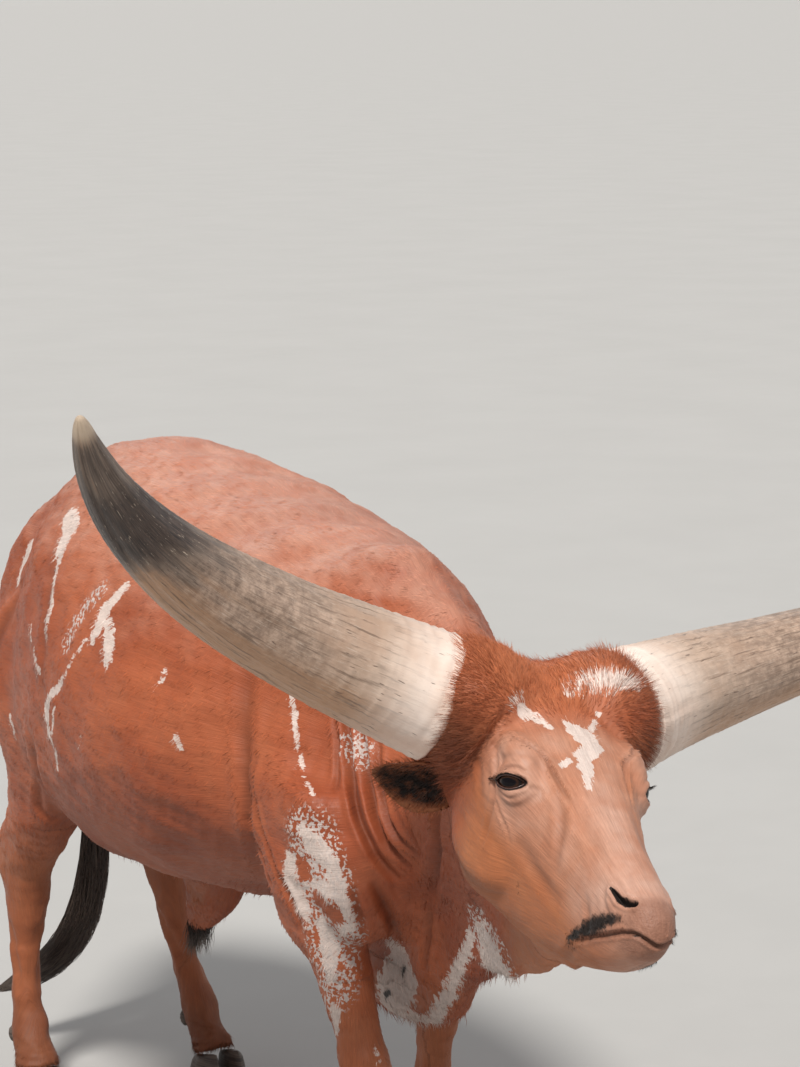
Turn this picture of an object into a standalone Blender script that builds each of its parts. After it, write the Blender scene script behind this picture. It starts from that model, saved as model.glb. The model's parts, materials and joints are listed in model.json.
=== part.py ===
"""Ankole-Watusi steer, life size, standing still as a museum model.

Lengths are in metres and +Z is up. The animal faces -Y, so its left side is +X and the floor is z = 0.
The head is described in a frame of its own, looking level along -Y with the poll at the origin.
HEAD_SEAT and the three HEAD angles set it on the neck. "Reach" is the distance from the poll to the muzzle.
"""

import math
from collections import namedtuple

import bmesh
import bpy
from mathutils import Matrix, Vector

# One cross-section of a limb or trunk: its centre, half its width, and its reach to both sides of the centre.
# On a leg, whose line runs down, above is its front and below is its back.
Section = namedtuple("Section", "x y z half above below power", defaults=[2.2])

# Fit between neighbouring parts
GAP = 0.0003
CUTTER_SIZE = 6.0

# Surface fineness
BODY_GRAIN = 0.011
BODY_SMOOTHING = (24, 5)
HEAD_SMOOTHING = (16, 5)
BROAD_FROM = (0.62, 0.76, -0.80)
BROAD_BLEND = 0.12
POLL_REACH = (0.10, 0.19)
HEAD_GRAIN = 0.0045
BODY_TRIANGLES = 4200
HEAD_TRIANGLES = 3400
STEPS = 4

# Trunk, from the pin bones to the chest
TRUNK = [
    Section(0, 1.045, 1.13, 0.065, 0.09, 0.10),
    Section(0, 0.98, 1.09, 0.125, 0.17, 0.20),
    Section(0, 0.86, 1.03, 0.185, 0.318, 0.30),
    Section(0, 0.72, 0.99, 0.248, 0.402, 0.355),
    Section(0, 0.58, 0.97, 0.315, 0.438, 0.375, 2.2),
    Section(0, 0.42, 0.95, 0.36, 0.444, 0.385, 2.2),
    Section(0, 0.22, 0.94, 0.388, 0.434, 0.365, 2.1),
    Section(0, 0.03, 0.93, 0.395, 0.417, 0.335, 2.0),
    Section(0, -0.14, 0.91, 0.365, 0.420, 0.305, 1.8),
    Section(0, -0.30, 0.87, 0.285, 0.462, 0.25, 1.6),
    Section(0, -0.45, 0.85, 0.235, 0.485, 0.25, 1.48),
    Section(0, -0.56, 0.86, 0.200, 0.412, 0.27, 1.42),
    Section(0, -0.66, 0.86, 0.165, 0.290, 0.25, 1.45),
    Section(0, -0.76, 0.86, 0.11, 0.16, 0.17, 2.0),
]

# Neck, from inside the chest to inside the head
NECK = [
    Section(0, -0.40, 0.90, 0.20, 0.34, 0.30, 1.6),
    Section(0, -0.56, 0.88, 0.185, 0.335, 0.28, 1.5),
    Section(-0.016, -0.66, 0.90, 0.160, 0.240, 0.25, 1.6),
    Section(-0.042, -0.76, 0.94, 0.145, 0.185, 0.24, 1.8),
    Section(-0.065, -0.87, 0.99, 0.140, 0.165, 0.24),
    Section(-0.095, -0.98, 1.02, 0.130, 0.150, 0.22),
    Section(-0.125, -1.08, 1.06, 0.110, 0.120, 0.18),
    Section(-0.14, -1.15, 1.08, 0.085, 0.09, 0.14),
]

# Dewlap, from behind the brisket to the throat
DEWLAP = [
    Section(0, -0.08, 0.69, 0.045, 0.06, 0.05),
    Section(0, -0.17, 0.66, 0.070, 0.10, 0.10),
    Section(0, -0.28, 0.63, 0.085, 0.16, 0.155),
    Section(0, -0.42, 0.62, 0.080, 0.18, 0.150),
    Section(-0.020, -0.53, 0.63, 0.062, 0.20, 0.138),
    Section(-0.050, -0.62, 0.67, 0.048, 0.20, 0.124),
    Section(-0.080, -0.73, 0.73, 0.040, 0.18, 0.098),
    Section(-0.105, -0.85, 0.78, 0.036, 0.14, 0.100),
    Section(-0.130, -0.96, 0.80, 0.033, 0.13, 0.095),
    Section(-0.150, -1.04, 0.82, 0.030, 0.11, 0.088),
    Section(-0.178, -1.12, 0.85, 0.027, 0.09, 0.098),
    Section(-0.205, -1.20, 0.87, 0.025, 0.07, 0.074),
    Section(-0.225, -1.28, 0.89, 0.022, 0.05, 0.068),
]

# Muscle and bone forms on both sides of the trunk: centre and radii
MUSCLES = [
    ((0.152, -0.36, 0.93), (0.078, 0.15, 0.20)),
    ((0.175, -0.54, 0.80), (0.075, 0.10, 0.14)),
    ((0.226, 0.50, 1.20), (0.070, 0.10, 0.06)),
    ((0.147, 0.75, 0.95), (0.105, 0.19, 0.30)),
    ((0.105, 0.90, 1.00), (0.085, 0.10, 0.18)),
]

# Girths of a leg from its top to the ground: half the width, front and back
FORE_GIRTHS = [
    (0.085, 0.13, 0.16),
    (0.075, 0.10, 0.11),
    (0.052, 0.058, 0.062),
    (0.042, 0.042, 0.043),
    (0.050, 0.051, 0.050),
    (0.041, 0.040, 0.043),
    (0.033, 0.033, 0.037),
    (0.034, 0.035, 0.038),
    (0.043, 0.043, 0.047),
    (0.040, 0.042, 0.042),
    (0.052, 0.056, 0.052),
    (0.052, 0.056, 0.050),
]
HIND_GIRTHS = [
    (0.105, 0.19, 0.18),
    (0.100, 0.15, 0.16),
    (0.070, 0.110, 0.110),
    (0.056, 0.088, 0.085),
    (0.055, 0.086, 0.092),
    (0.046, 0.062, 0.062),
    (0.033, 0.040, 0.043),
    (0.033, 0.037, 0.040),
    (0.039, 0.043, 0.046),
    (0.038, 0.042, 0.040),
    (0.051, 0.056, 0.052),
    (0.051, 0.056, 0.050),
]

# Lines of the four legs, through the same stations as their girths
LEG_LINES = {
    "fore_right": [
        (-0.20, -0.46, 0.95),
        (-0.195, -0.43, 0.76),
        (-0.175, -0.485, 0.61),
        (-0.165, -0.52, 0.51),
        (-0.16, -0.54, 0.43),
        (-0.16, -0.535, 0.36),
        (-0.162, -0.53, 0.27),
        (-0.163, -0.53, 0.19),
        (-0.165, -0.535, 0.145),
        (-0.167, -0.56, 0.095),
        (-0.168, -0.585, 0.055),
        (-0.168, -0.595, 0.012),
    ],
    "fore_left": [
        (0.20, -0.42, 0.95),
        (0.195, -0.36, 0.76),
        (0.18, -0.305, 0.61),
        (0.168, -0.265, 0.51),
        (0.165, -0.235, 0.43),
        (0.163, -0.225, 0.36),
        (0.162, -0.21, 0.27),
        (0.162, -0.20, 0.19),
        (0.162, -0.20, 0.145),
        (0.163, -0.225, 0.095),
        (0.164, -0.25, 0.055),
        (0.164, -0.26, 0.012),
    ],
    "hind_right": [
        (-0.19, 0.77, 1.02),
        (-0.205, 0.67, 0.83),
        (-0.190, 0.73, 0.66),
        (-0.175, 0.835, 0.55),
        (-0.168, 0.890, 0.475),
        (-0.168, 0.882, 0.40),
        (-0.174, 0.888, 0.29),
        (-0.179, 0.88, 0.19),
        (-0.18, 0.868, 0.14),
        (-0.185, 0.835, 0.09),
        (-0.188, 0.805, 0.055),
        (-0.19, 0.795, 0.012),
    ],
    "hind_left": [
        (0.19, 0.76, 1.02),
        (0.205, 0.66, 0.83),
        (0.190, 0.73, 0.66),
        (0.172, 0.845, 0.55),
        (0.164, 0.915, 0.475),
        (0.164, 0.90, 0.40),
        (0.165, 0.855, 0.28),
        (0.168, 0.80, 0.185),
        (0.17, 0.775, 0.14),
        (0.172, 0.74, 0.09),
        (0.173, 0.71, 0.055),
        (0.174, 0.70, 0.012),
    ],
}

# Planes that part the legs: height at the top, its slope to the rear, and the joint where the shank begins
FORE_TOP = (0.60, 0.0)
HIND_TOP = (0.63, 20.0)
LEG_CELL = (0.030, 0.42, 0.24, 0.34)
FORE_MIDLINE = 0.078
KNEE_HEIGHT = 0.385
HOCK_HEIGHT = 0.42

# Feet
CORONET_FRONT = 0.076
CORONET_BACK = 0.046
HOOF_FRONT = 0.074
HOOF_BACK = 0.050
CLAW_OFFSET = 0.0315
CLAW_HALF = 0.0285
CLAW_SPLAY = 3.0
CLAW_SIDES = 12
DEWCLAW_SIZE = (0.012, 0.016, 0.019)
DEWCLAW_OFFSET = 0.021
DEWCLAW_HEIGHT = 0.108

# Head, from behind the poll to the muzzle: reach, top, bottom, half width, height of the widest point, power
HEAD_LENGTH = [
    (-0.16, -0.05, -0.19, 0.085, -0.12, 2.2),
    (-0.08, -0.005, -0.21, 0.110, -0.12, 2.3),
    (0.00, 0.008, -0.235, 0.125, -0.11, 2.4),
    (0.08, 0.010, -0.275, 0.128, -0.10, 2.3),
    (0.15, 0.004, -0.300, 0.127, -0.10, 2.3),
    (0.22, -0.006, -0.303, 0.117, -0.10, 2.4),
    (0.30, -0.020, -0.296, 0.087, -0.11, 2.3),
    (0.38, -0.034, -0.268, 0.066, -0.12, 2.3),
    (0.45, -0.043, -0.232, 0.057, -0.12, 2.4),
    (0.51, -0.049, -0.196, 0.049, -0.115, 2.4),
    (0.548, -0.053, -0.160, 0.039, -0.106, 2.4),
    (0.573, -0.070, -0.132, 0.024, -0.102, 2.2),
]
HEAD_SEAT = Vector((-0.1198, -1.0186, 1.2060))
HEAD_YAW = -10.9
HEAD_PITCH = 19.2
HEAD_ROLL = 11.5

# Forms on both sides of the head: centre as x, reach and height, then radii
HEAD_FORMS = [
    ((0.110, 0.022, -0.045), (0.093, 0.115, 0.110)),
    ((0.042, 0.020, -0.024), (0.060, 0.085, 0.056)),
    ((0.088, 0.185, -0.030), (0.030, 0.055, 0.022)),
    ((0.090, 0.222, -0.064), (0.034, 0.046, 0.040)),
    ((0.076, 0.165, -0.190), (0.048, 0.110, 0.090)),
    ((0.024, 0.490, -0.088), (0.028, 0.040, 0.026)),
    ((0.010, 0.522, -0.094), (0.029, 0.034, 0.028)),
]
CHIN = ((0, 0.500, -0.158), (0.038, 0.048, 0.028))

# Mouth line from the middle of the lips to one corner: x, reach, height
MOUTH_LINE = [
    (0.0, 0.578, -0.101),
    (0.014, 0.574, -0.097),
    (0.025, 0.566, -0.094),
    (0.034, 0.555, -0.098),
    (0.043, 0.537, -0.111),
    (0.049, 0.509, -0.136),
    (0.053, 0.483, -0.158),
    (0.054, 0.455, -0.184),
]
MOUTH_DEPTH = 0.018
MOUTH_OPENING = 0.0020
UPPER_LIP = 0.011
LOWER_LIP = 0.009
LIP_OFFSET = 0.010
LIP_INSET = 0.20
LIP_THINNING = 0.6

# Nostril: a comma-shaped hollow, narrow at its rear end and round at the front
NOSTRIL_POINTS = [
    (0.0465, 0.480, -0.071),
    (0.0450, 0.495, -0.070),
    (0.0437, 0.508, -0.071),
    (0.0400, 0.522, -0.067),
    (0.0330, 0.533, -0.061),
]
NOSTRIL_WIDTHS = [0.0030, 0.0045, 0.0055, 0.0070, 0.0060]
NOSTRIL_DEPTH = 0.014
NOSTRIL_FACING = Vector((0.72, -0.13, 0.68))

# Eyes
EYE_RADIUS = 0.0255
EYE_PLACE = (0.097, 0.216, -0.063)
EYE_FACING = Vector((0.80, -0.55, 0.20))
LID_THICKNESS = 0.0045
EYE_OPENING_HALF = 0.0235
EYE_OPENING_UP = 0.0110
EYE_OPENING_DOWN = 0.0095

# Ears: root, bend and tip as x, reach and height, then width and cup depth
EAR_LINE = [
    (0.100, 0.045, -0.165),
    (0.138, 0.040, -0.192),
    (0.178, 0.016, -0.206),
    (0.214, -0.020, -0.208),
    (0.240, -0.058, -0.202),
]
EAR_WIDTHS = [0.024, 0.038, 0.044, 0.034, 0.006]
EAR_CUPS = [0.020, 0.026, 0.024, 0.016, 0.004]
EAR_THICKNESS = 0.007
EAR_OPENING = Vector((0.25, -0.75, -0.60))

# Horns
HORN_LENGTH = 0.878
HORN_ROOT = (0.150, 0.002, -0.052)
HORN_RADIUS = 0.1026
HORN_TAPER = 0.597
HORN_TIP_POWER = 3.57
HORN_RISE = (6.65, 21.2, 27.4)
HORN_SWEEP = (-23.4, 46.6)
HORN_TILT = (3.44, 8.8)
HORN_END = 0.994
HORN_SIDES = 18
HORN_RINGS = 18

# Tail and switch
TAIL_LINE = [
    Section(0, 0.93, 1.215, 0.048, 0.048, 0.048),
    Section(0, 1.00, 1.205, 0.043, 0.043, 0.043),
    Section(0.002, 1.065, 1.13, 0.031, 0.031, 0.031),
    Section(0.012, 1.095, 0.98, 0.022, 0.022, 0.022),
    Section(0.035, 1.10, 0.80, 0.018, 0.018, 0.018),
    Section(0.062, 1.10, 0.66, 0.016, 0.016, 0.016),
    Section(0.074, 1.10, 0.58, 0.014, 0.014, 0.014),
]
TAIL_END = 0.62
SWITCH_LINE = [
    Section(0.062, 1.10, 0.66, 0.017, 0.017, 0.017),
    Section(0.080, 1.10, 0.56, 0.023, 0.023, 0.023),
    Section(0.088, 1.10, 0.47, 0.027, 0.027, 0.027),
    Section(0.080, 1.10, 0.37, 0.032, 0.032, 0.032),
    Section(0.052, 1.10, 0.27, 0.036, 0.036, 0.036),
    Section(0.000, 1.10, 0.200, 0.034, 0.034, 0.034),
    Section(-0.070, 1.10, 0.160, 0.026, 0.026, 0.026),
    Section(-0.150, 1.10, 0.138, 0.005, 0.005, 0.005),
]
SWITCH_CORE = 0.5
SWITCH_LOCKS = 26
LOCK_RINGS = 6
LOCK_WIDTH = 0.0125
LOCK_THICKNESS = 0.0045
LOCK_LENGTHS = (0.42, 0.60)
LOCK_SPREAD = 1.12

# Sheath
SHEATH_LINE = [
    Section(-0.020, 0.30, 0.66, 0.070, 0.15, 0.15),
    Section(-0.022, 0.31, 0.58, 0.052, 0.12, 0.13),
    Section(-0.026, 0.33, 0.525, 0.036, 0.09, 0.095),
    Section(-0.030, 0.35, 0.485, 0.028, 0.058, 0.060),
    Section(-0.032, 0.37, 0.450, 0.022, 0.030, 0.032),
    Section(-0.033, 0.375, 0.420, 0.010, 0.012, 0.012),
]

# Plane between the neck and the trunk, and between the head and the neck in the head's frame
NECK_PLANE_POINT = (0, -0.66, 1.0)
NECK_PLANE_LEAN = 22.0
HEAD_PLANE_POINT = (0, -0.090, -0.14)
HEAD_PLANE_LEAN = 15.0

# Colours, roughness
COAT = ((0.33, 0.085, 0.032), 0.55)
FACE = ((0.42, 0.17, 0.095), 0.60)
EAR_COAT = ((0.20, 0.06, 0.03), 0.65)
HORN = ((0.46, 0.36, 0.25), 0.45)
EYE = ((0.02, 0.010, 0.008), 0.08)
HOOF = ((0.09, 0.07, 0.06), 0.45)
SWITCH = ((0.03, 0.02, 0.018), 0.70)
SHANK = ((0.30, 0.10, 0.045), 0.60)


def clear_scene():
    """Remove whatever the scene holds."""
    for obj in list(bpy.data.objects):
        bpy.data.objects.remove(obj, do_unlink=True)


def coated(name, finish):
    """A Principled material of one colour and roughness."""
    colour, roughness = finish
    material = bpy.data.materials.new(name)
    material.use_nodes = True
    shader = material.node_tree.nodes["Principled BSDF"]
    shader.inputs["Base Color"].default_value = (*colour, 1)
    shader.inputs["Roughness"].default_value = roughness
    shader.inputs["Metallic"].default_value = 0.0
    material.diffuse_color = (*colour, 1)
    return material


def object_of(name, mesh):
    """A mesh as an object in the scene."""
    obj = bpy.data.objects.new(name, mesh)
    bpy.context.scene.collection.objects.link(obj)
    return obj


def smooth_rows(rows, steps=STEPS):
    """Rows of numbers with more rows between them, on a curve that passes through all of them."""
    found = []
    for i in range(len(rows) - 1):
        before = rows[max(i - 1, 0)]
        start, end = rows[i], rows[i + 1]
        after = rows[min(i + 2, len(rows) - 1)]
        for step in range(steps):
            t = step / steps
            found.append([catmull(*four, t) for four in zip(before, start, end, after)])
    found.append(list(rows[-1]))
    return found


def catmull(before, start, end, after, t):
    """One value on the curve from start to end."""
    slope = (end - before) / 2
    next_slope = (after - start) / 2
    rise = end - start
    return start + t * (slope + t * (3 * rise - 2 * slope - next_slope + t * (slope + next_slope - 2 * rise)))


def superellipse(angle, half, above, below, power):
    """A point of a rounded cross-section, across and up."""
    across, up = math.cos(angle), math.sin(angle)
    bend = 2 / power
    wide = math.copysign(abs(across) ** bend, across) * half
    tall = math.copysign(abs(up) ** bend, up) * (above if up > 0 else below)
    return wide, tall


def loft_mesh(name, rings):
    """A closed mesh over rings that all have the same number of points."""
    shape = bmesh.new()
    loops = [[shape.verts.new(point) for point in ring] for ring in rings]
    sides = len(loops[0])
    for lower, upper in zip(loops, loops[1:]):
        for i in range(sides):
            j = (i + 1) % sides
            shape.faces.new((lower[i], lower[j], upper[j], upper[i]))
    for loop in (loops[0], loops[-1]):
        middle = shape.verts.new(sum((v.co for v in loop), Vector()) / sides)
        for i in range(sides):
            shape.faces.new((loop[i], loop[(i + 1) % sides], middle))
    bmesh.ops.recalc_face_normals(shape, faces=shape.faces)
    mesh = bpy.data.meshes.new(name)
    shape.to_mesh(mesh)
    shape.free()
    return object_of(name, mesh)


def loft(name, sections, sides=24, steps=STEPS, side_axis=(1, 0, 0)):
    """A closed limb or trunk over sections, with its width kept along side_axis."""
    rows = smooth_rows(sections, steps)
    centres = [Vector(row[:3]) for row in rows]
    rings = []
    for i, row in enumerate(rows):
        along = (centres[min(i + 1, len(rows) - 1)] - centres[max(i - 1, 0)]).normalized()
        across = Vector(side_axis)
        across = (across - along * across.dot(along)).normalized()
        up = along.cross(across)
        ring = []
        for k in range(sides):
            wide, tall = superellipse(2 * math.pi * k / sides, *row[3:])
            ring.append(centres[i] + across * wide + up * tall)
        rings.append(ring)
    return loft_mesh(name, rings)


def ball(name, centre, radii, pose=None, fineness=3):
    """An ellipsoid."""
    shape = bmesh.new()
    bmesh.ops.create_icosphere(shape, subdivisions=fineness, radius=1.0)
    matrix = Matrix.Translation(centre) @ Matrix.Diagonal((*radii, 1))
    bmesh.ops.transform(shape, matrix=(pose or Matrix()) @ matrix, verts=shape.verts)
    mesh = bpy.data.meshes.new(name)
    shape.to_mesh(mesh)
    shape.free()
    return object_of(name, mesh)


def apply_modifiers(obj):
    """Put an object's modifiers into its mesh."""
    graph = bpy.context.evaluated_depsgraph_get()
    mesh = bpy.data.meshes.new_from_object(obj.evaluated_get(graph))
    obj.modifiers.clear()
    obj.data = mesh
    return obj


def joined(name, pieces):
    """One object that holds the meshes of all pieces."""
    shape = bmesh.new()
    for piece in pieces:
        shape.from_mesh(piece.data)
        bpy.data.objects.remove(piece)
    mesh = bpy.data.meshes.new(name)
    shape.to_mesh(mesh)
    shape.free()
    return object_of(name, mesh)


def fused(name, pieces, grain, triangles, smoothing, softness):
    """Overlapping pieces grown into one smooth skin, smoothed more where softness says so."""
    obj = joined(name, pieces)
    remesh = obj.modifiers.new("Skin", "REMESH")
    remesh.mode = "VOXEL"
    remesh.voxel_size = grain
    apply_modifiers(obj)
    broad = obj.vertex_groups.new(name="broad")
    for vert in obj.data.vertices:
        broad.add([vert.index], softness(vert.co), "REPLACE")
    for group, iterations in (("broad", smoothing[0]), ("", smoothing[1])):
        smooth = obj.modifiers.new("Smooth", "SMOOTH")
        smooth.factor = 0.5
        smooth.iterations = iterations
        smooth.vertex_group = group
    apply_modifiers(obj)
    thin = obj.modifiers.new("Thin", "DECIMATE")
    thin.ratio = min(1.0, triangles / (2 * len(obj.data.polygons)))
    thin.use_collapse_triangulate = True
    return apply_modifiers(obj)


def broadness(point):
    """How far a point lies in the trunk, above the legs and behind the head, from 0 to 1."""
    low = BROAD_FROM[0] if point.y > 0 else BROAD_FROM[1]
    above_legs = min(max((point.z - low) / BROAD_BLEND, 0), 1)
    behind_head = min(max((point.y - BROAD_FROM[2]) / BROAD_BLEND, 0), 1)
    return above_legs * behind_head


def poll_softness(point):
    """How near a point lies to the poll, from 0 on the face to 1."""
    reach = -(head_pose().inverted() @ point).y
    return min(max((POLL_REACH[1] - reach) / (POLL_REACH[1] - POLL_REACH[0]), 0), 1)


def largest_surface(obj):
    """Keep only the largest closed surface of an object."""
    shape = bmesh.new()
    shape.from_mesh(obj.data)
    left = set(shape.verts)
    groups = []
    while left:
        group = [left.pop()]
        for vert in group:
            for edge in vert.link_edges:
                other = edge.other_vert(vert)
                if other in left:
                    left.remove(other)
                    group.append(other)
        groups.append(group)
    groups.sort(key=len)
    bmesh.ops.delete(shape, geom=[v for group in groups[:-1] for v in group], context="VERTS")
    bmesh.ops.triangulate(shape, faces=shape.faces)
    shape.to_mesh(obj.data)
    shape.free()
    return obj


def carve(obj, cutter, operation="DIFFERENCE", solver="EXACT"):
    """Cut an object by another one."""
    modifier = obj.modifiers.new("Cut", "BOOLEAN")
    modifier.object = cutter
    modifier.operation = operation
    modifier.solver = solver
    return apply_modifiers(obj)


def carve_all(obj, cutters, operation="DIFFERENCE"):
    """Cut an object by several others, and remove them."""
    for cutter in cutters:
        carve(obj, cutter, operation)
        bpy.data.objects.remove(cutter)
    return largest_surface(obj)


def copied(obj, name):
    """A copy of an object with its own mesh."""
    return object_of(name, obj.data.copy())


def grown(obj, name, by=GAP):
    """A copy of an object whose surface stands out a little further."""
    twin = copied(obj, name)
    shape = bmesh.new()
    shape.from_mesh(twin.data)
    shape.normal_update()
    for vert, point in [(v, v.co + v.normal * by * 1.6) for v in shape.verts]:
        vert.co = point
    shape.to_mesh(twin.data)
    shape.free()
    return twin


def block(name, low, high, pose=None):
    """A box between two corners."""
    low, high = Vector(low), Vector(high)
    shape = bmesh.new()
    bmesh.ops.create_cube(shape, size=1.0)
    matrix = Matrix.Translation((low + high) / 2) @ Matrix.Diagonal((*(high - low), 1))
    bmesh.ops.transform(shape, matrix=(pose or Matrix()) @ matrix, verts=shape.verts)
    mesh = bpy.data.meshes.new(name)
    shape.to_mesh(mesh)
    shape.free()
    return object_of(name, mesh)


def half_space(name, pose, side):
    """A large box on one side of the plane y = 0 of a pose, reaching half a gap past it."""
    reach = CUTTER_SIZE / 2
    near = GAP / 2
    if side > 0:
        return block(name, (-reach, -near, -reach), (reach, reach, reach), pose)
    return block(name, (-reach, -reach, -reach), (reach, near, reach), pose)


def head_pose():
    """Matrix from the head's own frame to the body's."""
    turn = Matrix.Rotation(math.radians(HEAD_YAW), 4, "Z")
    nod = Matrix.Rotation(math.radians(HEAD_PITCH), 4, "X")
    tilt = Matrix.Rotation(math.radians(HEAD_ROLL), 4, "Y")
    return Matrix.Translation(HEAD_SEAT) @ turn @ nod @ tilt


def head_point(x, reach, height):
    """A point of the head in the body's frame."""
    return head_pose() @ Vector((x, -reach, height))


def neck_plane():
    """Pose whose plane y = 0 parts the neck, on its -Y side, from the trunk."""
    lean = Matrix.Rotation(math.radians(-NECK_PLANE_LEAN), 4, "X")
    return Matrix.Translation(NECK_PLANE_POINT) @ lean


def head_plane():
    """Pose whose plane y = 0 parts the head, on its -Y side, from the neck."""
    x, reach, height = HEAD_PLANE_POINT
    lean = Matrix.Rotation(math.radians(-HEAD_PLANE_LEAN), 4, "X")
    return head_pose() @ Matrix.Translation((x, -reach, height)) @ lean


def leg_sections(leg):
    """Sections of one leg from its line and girths."""
    girths = FORE_GIRTHS if leg.startswith("fore") else HIND_GIRTHS
    return [Section(*point, *girth) for point, girth in zip(LEG_LINES[leg], girths)]


def skull_pieces():
    """Closed forms of the head, lips and brows, all overlapping."""
    pose = head_pose()
    rings = []
    for reach, top, bottom, half, widest, power in smooth_rows(HEAD_LENGTH):
        ring = []
        for k in range(28):
            wide, tall = superellipse(2 * math.pi * k / 28, half, top - widest, widest - bottom, power)
            ring.append(pose @ Vector((wide, -reach, widest + tall)))
        rings.append(ring)
    pieces = [loft_mesh("skull", rings)]
    for (x, reach, height), radii in HEAD_FORMS:
        for side in (-1, 1):
            pieces.append(ball("form", (side * x, -reach, height), radii, pose))
    (x, reach, height), radii = CHIN
    pieces.append(ball("chin", (x, -reach, height), radii, pose))
    for side in (-1, 1):
        place = (side * EYE_PLACE[0], -EYE_PLACE[1], EYE_PLACE[2])
        lid = EYE_RADIUS + LID_THICKNESS
        pieces.append(ball("lid", place, (lid, lid, lid), pose))
    pieces.append(lip("upper_lip", UPPER_LIP, LIP_OFFSET))
    pieces.append(lip("lower_lip", LOWER_LIP, -LIP_OFFSET))
    return pieces


def mouth_points():
    """The mouth line from its right corner round the front to its left corner."""
    left = [Vector((x, -reach, height)) for x, reach, height in MOUTH_LINE]
    right = [Vector((-p.x, p.y, p.z)) for p in left[:0:-1]]
    return right + left


def lip(name, thickness, offset):
    """A soft roll along the mouth line, above or below it."""
    pose = head_pose()
    sections = []
    points = mouth_points()
    for i, point in enumerate(points):
        near_corner = abs(i - len(points) // 2) / (len(points) // 2)
        size = thickness * (1 - LIP_THINNING * near_corner**3)
        inward = Vector((-point.x, 0.025, 0)) * LIP_INSET
        place = pose @ (point + inward + Vector((0, 0, offset * (1 - LIP_THINNING * near_corner**2))))
        sections.append(Section(*place, size, size, size))
    return loft(name, sections, sides=10, steps=3, side_axis=(0, 0, 1))


def mouth_cut():
    """A thin curved slit that parts the lips and closes at both corners."""
    pose = head_pose()
    points = [Vector(row) for row in smooth_rows([tuple(p) for p in mouth_points()], 3)]
    rings = []
    for i, point in enumerate(points):
        near_corner = abs(2 * i / (len(points) - 1) - 1)
        open_by = Vector((0, 0, MOUTH_OPENING * (1.05 - near_corner**6)))
        inward = Vector((-point.x, 0.06, 0)).normalized()
        outer = point - inward * (0.015 - 0.010 * near_corner**6)
        inner = point + inward * MOUTH_DEPTH * (1.05 - near_corner**4)
        ring = [outer + open_by * 2, outer - open_by * 2, inner - open_by * 0.4, inner + open_by * 0.4]
        rings.append([pose @ p for p in ring])
    return loft_mesh("mouth_cut", rings)


def nostril_cut(side):
    """The comma-shaped hollow of one nostril."""
    pose = head_pose()
    sections = []
    for (x, reach, height), width in zip(NOSTRIL_POINTS, NOSTRIL_WIDTHS):
        place = pose @ Vector((side * x, -reach, height))
        sections.append(Section(*place, NOSTRIL_DEPTH, width, width))
    facing = Vector((side * NOSTRIL_FACING.x, NOSTRIL_FACING.y, NOSTRIL_FACING.z))
    return loft("nostril_cut", sections, sides=10, steps=2, side_axis=pose.to_3x3() @ facing)


def eye_frame(side):
    """Pose of one eye, its +Z looking outward and its +X along the opening."""
    x, reach, height = EYE_PLACE
    outward = Vector((side * EYE_FACING.x, EYE_FACING.y, EYE_FACING.z)).normalized()
    along = Vector((side * 0.42, 0.80, -0.43))
    along = (along - outward * along.dot(outward)).normalized()
    up = outward.cross(along)
    if up.z < 0:
        up = -up
    frame = Matrix((along, up, outward)).transposed().to_4x4()
    frame.translation = Vector((side * x, -reach, height))
    return head_pose() @ frame


def eye_opening(side):
    """Almond between the lids, from the middle of the eye outward."""
    pose = eye_frame(side)
    rings = []
    for depth, spread in ((0.004, 0.75), (EYE_RADIUS + 0.03, 1.35)):
        ring = []
        for k in range(16):
            angle = 2 * math.pi * k / 16
            wide = math.cos(angle)
            lift = EYE_OPENING_UP if math.sin(angle) > 0 else EYE_OPENING_DOWN
            tall = math.copysign(abs(math.sin(angle)) ** 1.4, math.sin(angle)) * lift
            ring.append(pose @ Vector((wide * EYE_OPENING_HALF * spread, tall * spread, depth)))
        rings.append(ring)
    return loft_mesh("eye_opening", rings)


def eyeball(name, side, radius):
    """One eyeball."""
    shape = bmesh.new()
    bmesh.ops.create_uvsphere(shape, u_segments=18, v_segments=10, radius=radius)
    bmesh.ops.transform(shape, matrix=eye_frame(side), verts=shape.verts)
    bmesh.ops.recalc_face_normals(shape, faces=shape.faces)
    mesh = bpy.data.meshes.new(name)
    shape.to_mesh(mesh)
    shape.free()
    return object_of(name, mesh)


def horn(name, side, swell=0.0):
    """One horn, its line rising and sweeping from its root, and its radius falling to the tip."""
    pose = head_pose()
    x, reach, height = HORN_ROOT
    place = Vector((side * x, -reach, height))
    rise_start = HORN_RISE[0] - side * HORN_TILT[0]
    sweep_start = HORN_SWEEP[0] - side * HORN_TILT[1]
    step = HORN_LENGTH / HORN_RINGS
    rings = []
    for i in range(HORN_RINGS + 1):
        middle = max(i - 0.5, 0) / HORN_RINGS
        rise = math.radians(rise_start + HORN_RISE[1] * middle + HORN_RISE[2] * middle**2)
        sweep = math.radians(sweep_start + HORN_SWEEP[1] * middle)
        level = Vector((side * math.cos(sweep), -math.sin(sweep), 0))
        along = level * math.cos(rise) + Vector((0, 0, math.sin(rise)))
        if i:
            place = place + along * step
        s = min(i / HORN_RINGS, HORN_END)
        radius = HORN_RADIUS * (1 - HORN_TAPER * s) * math.sqrt(1 - s**HORN_TIP_POWER) + swell
        across = Vector((0, 1, 0))
        across = (across - along * across.dot(along)).normalized()
        up = across.cross(along)
        back_off = along * (-swell if i == 0 else 0)
        ring = []
        for k in range(HORN_SIDES):
            angle = 2 * math.pi * k / HORN_SIDES
            out = across * math.cos(angle) + up * math.sin(angle)
            ring.append(pose @ (place + back_off + out * radius))
        rings.append(ring)
    return loft_mesh(name, rings)


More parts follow.
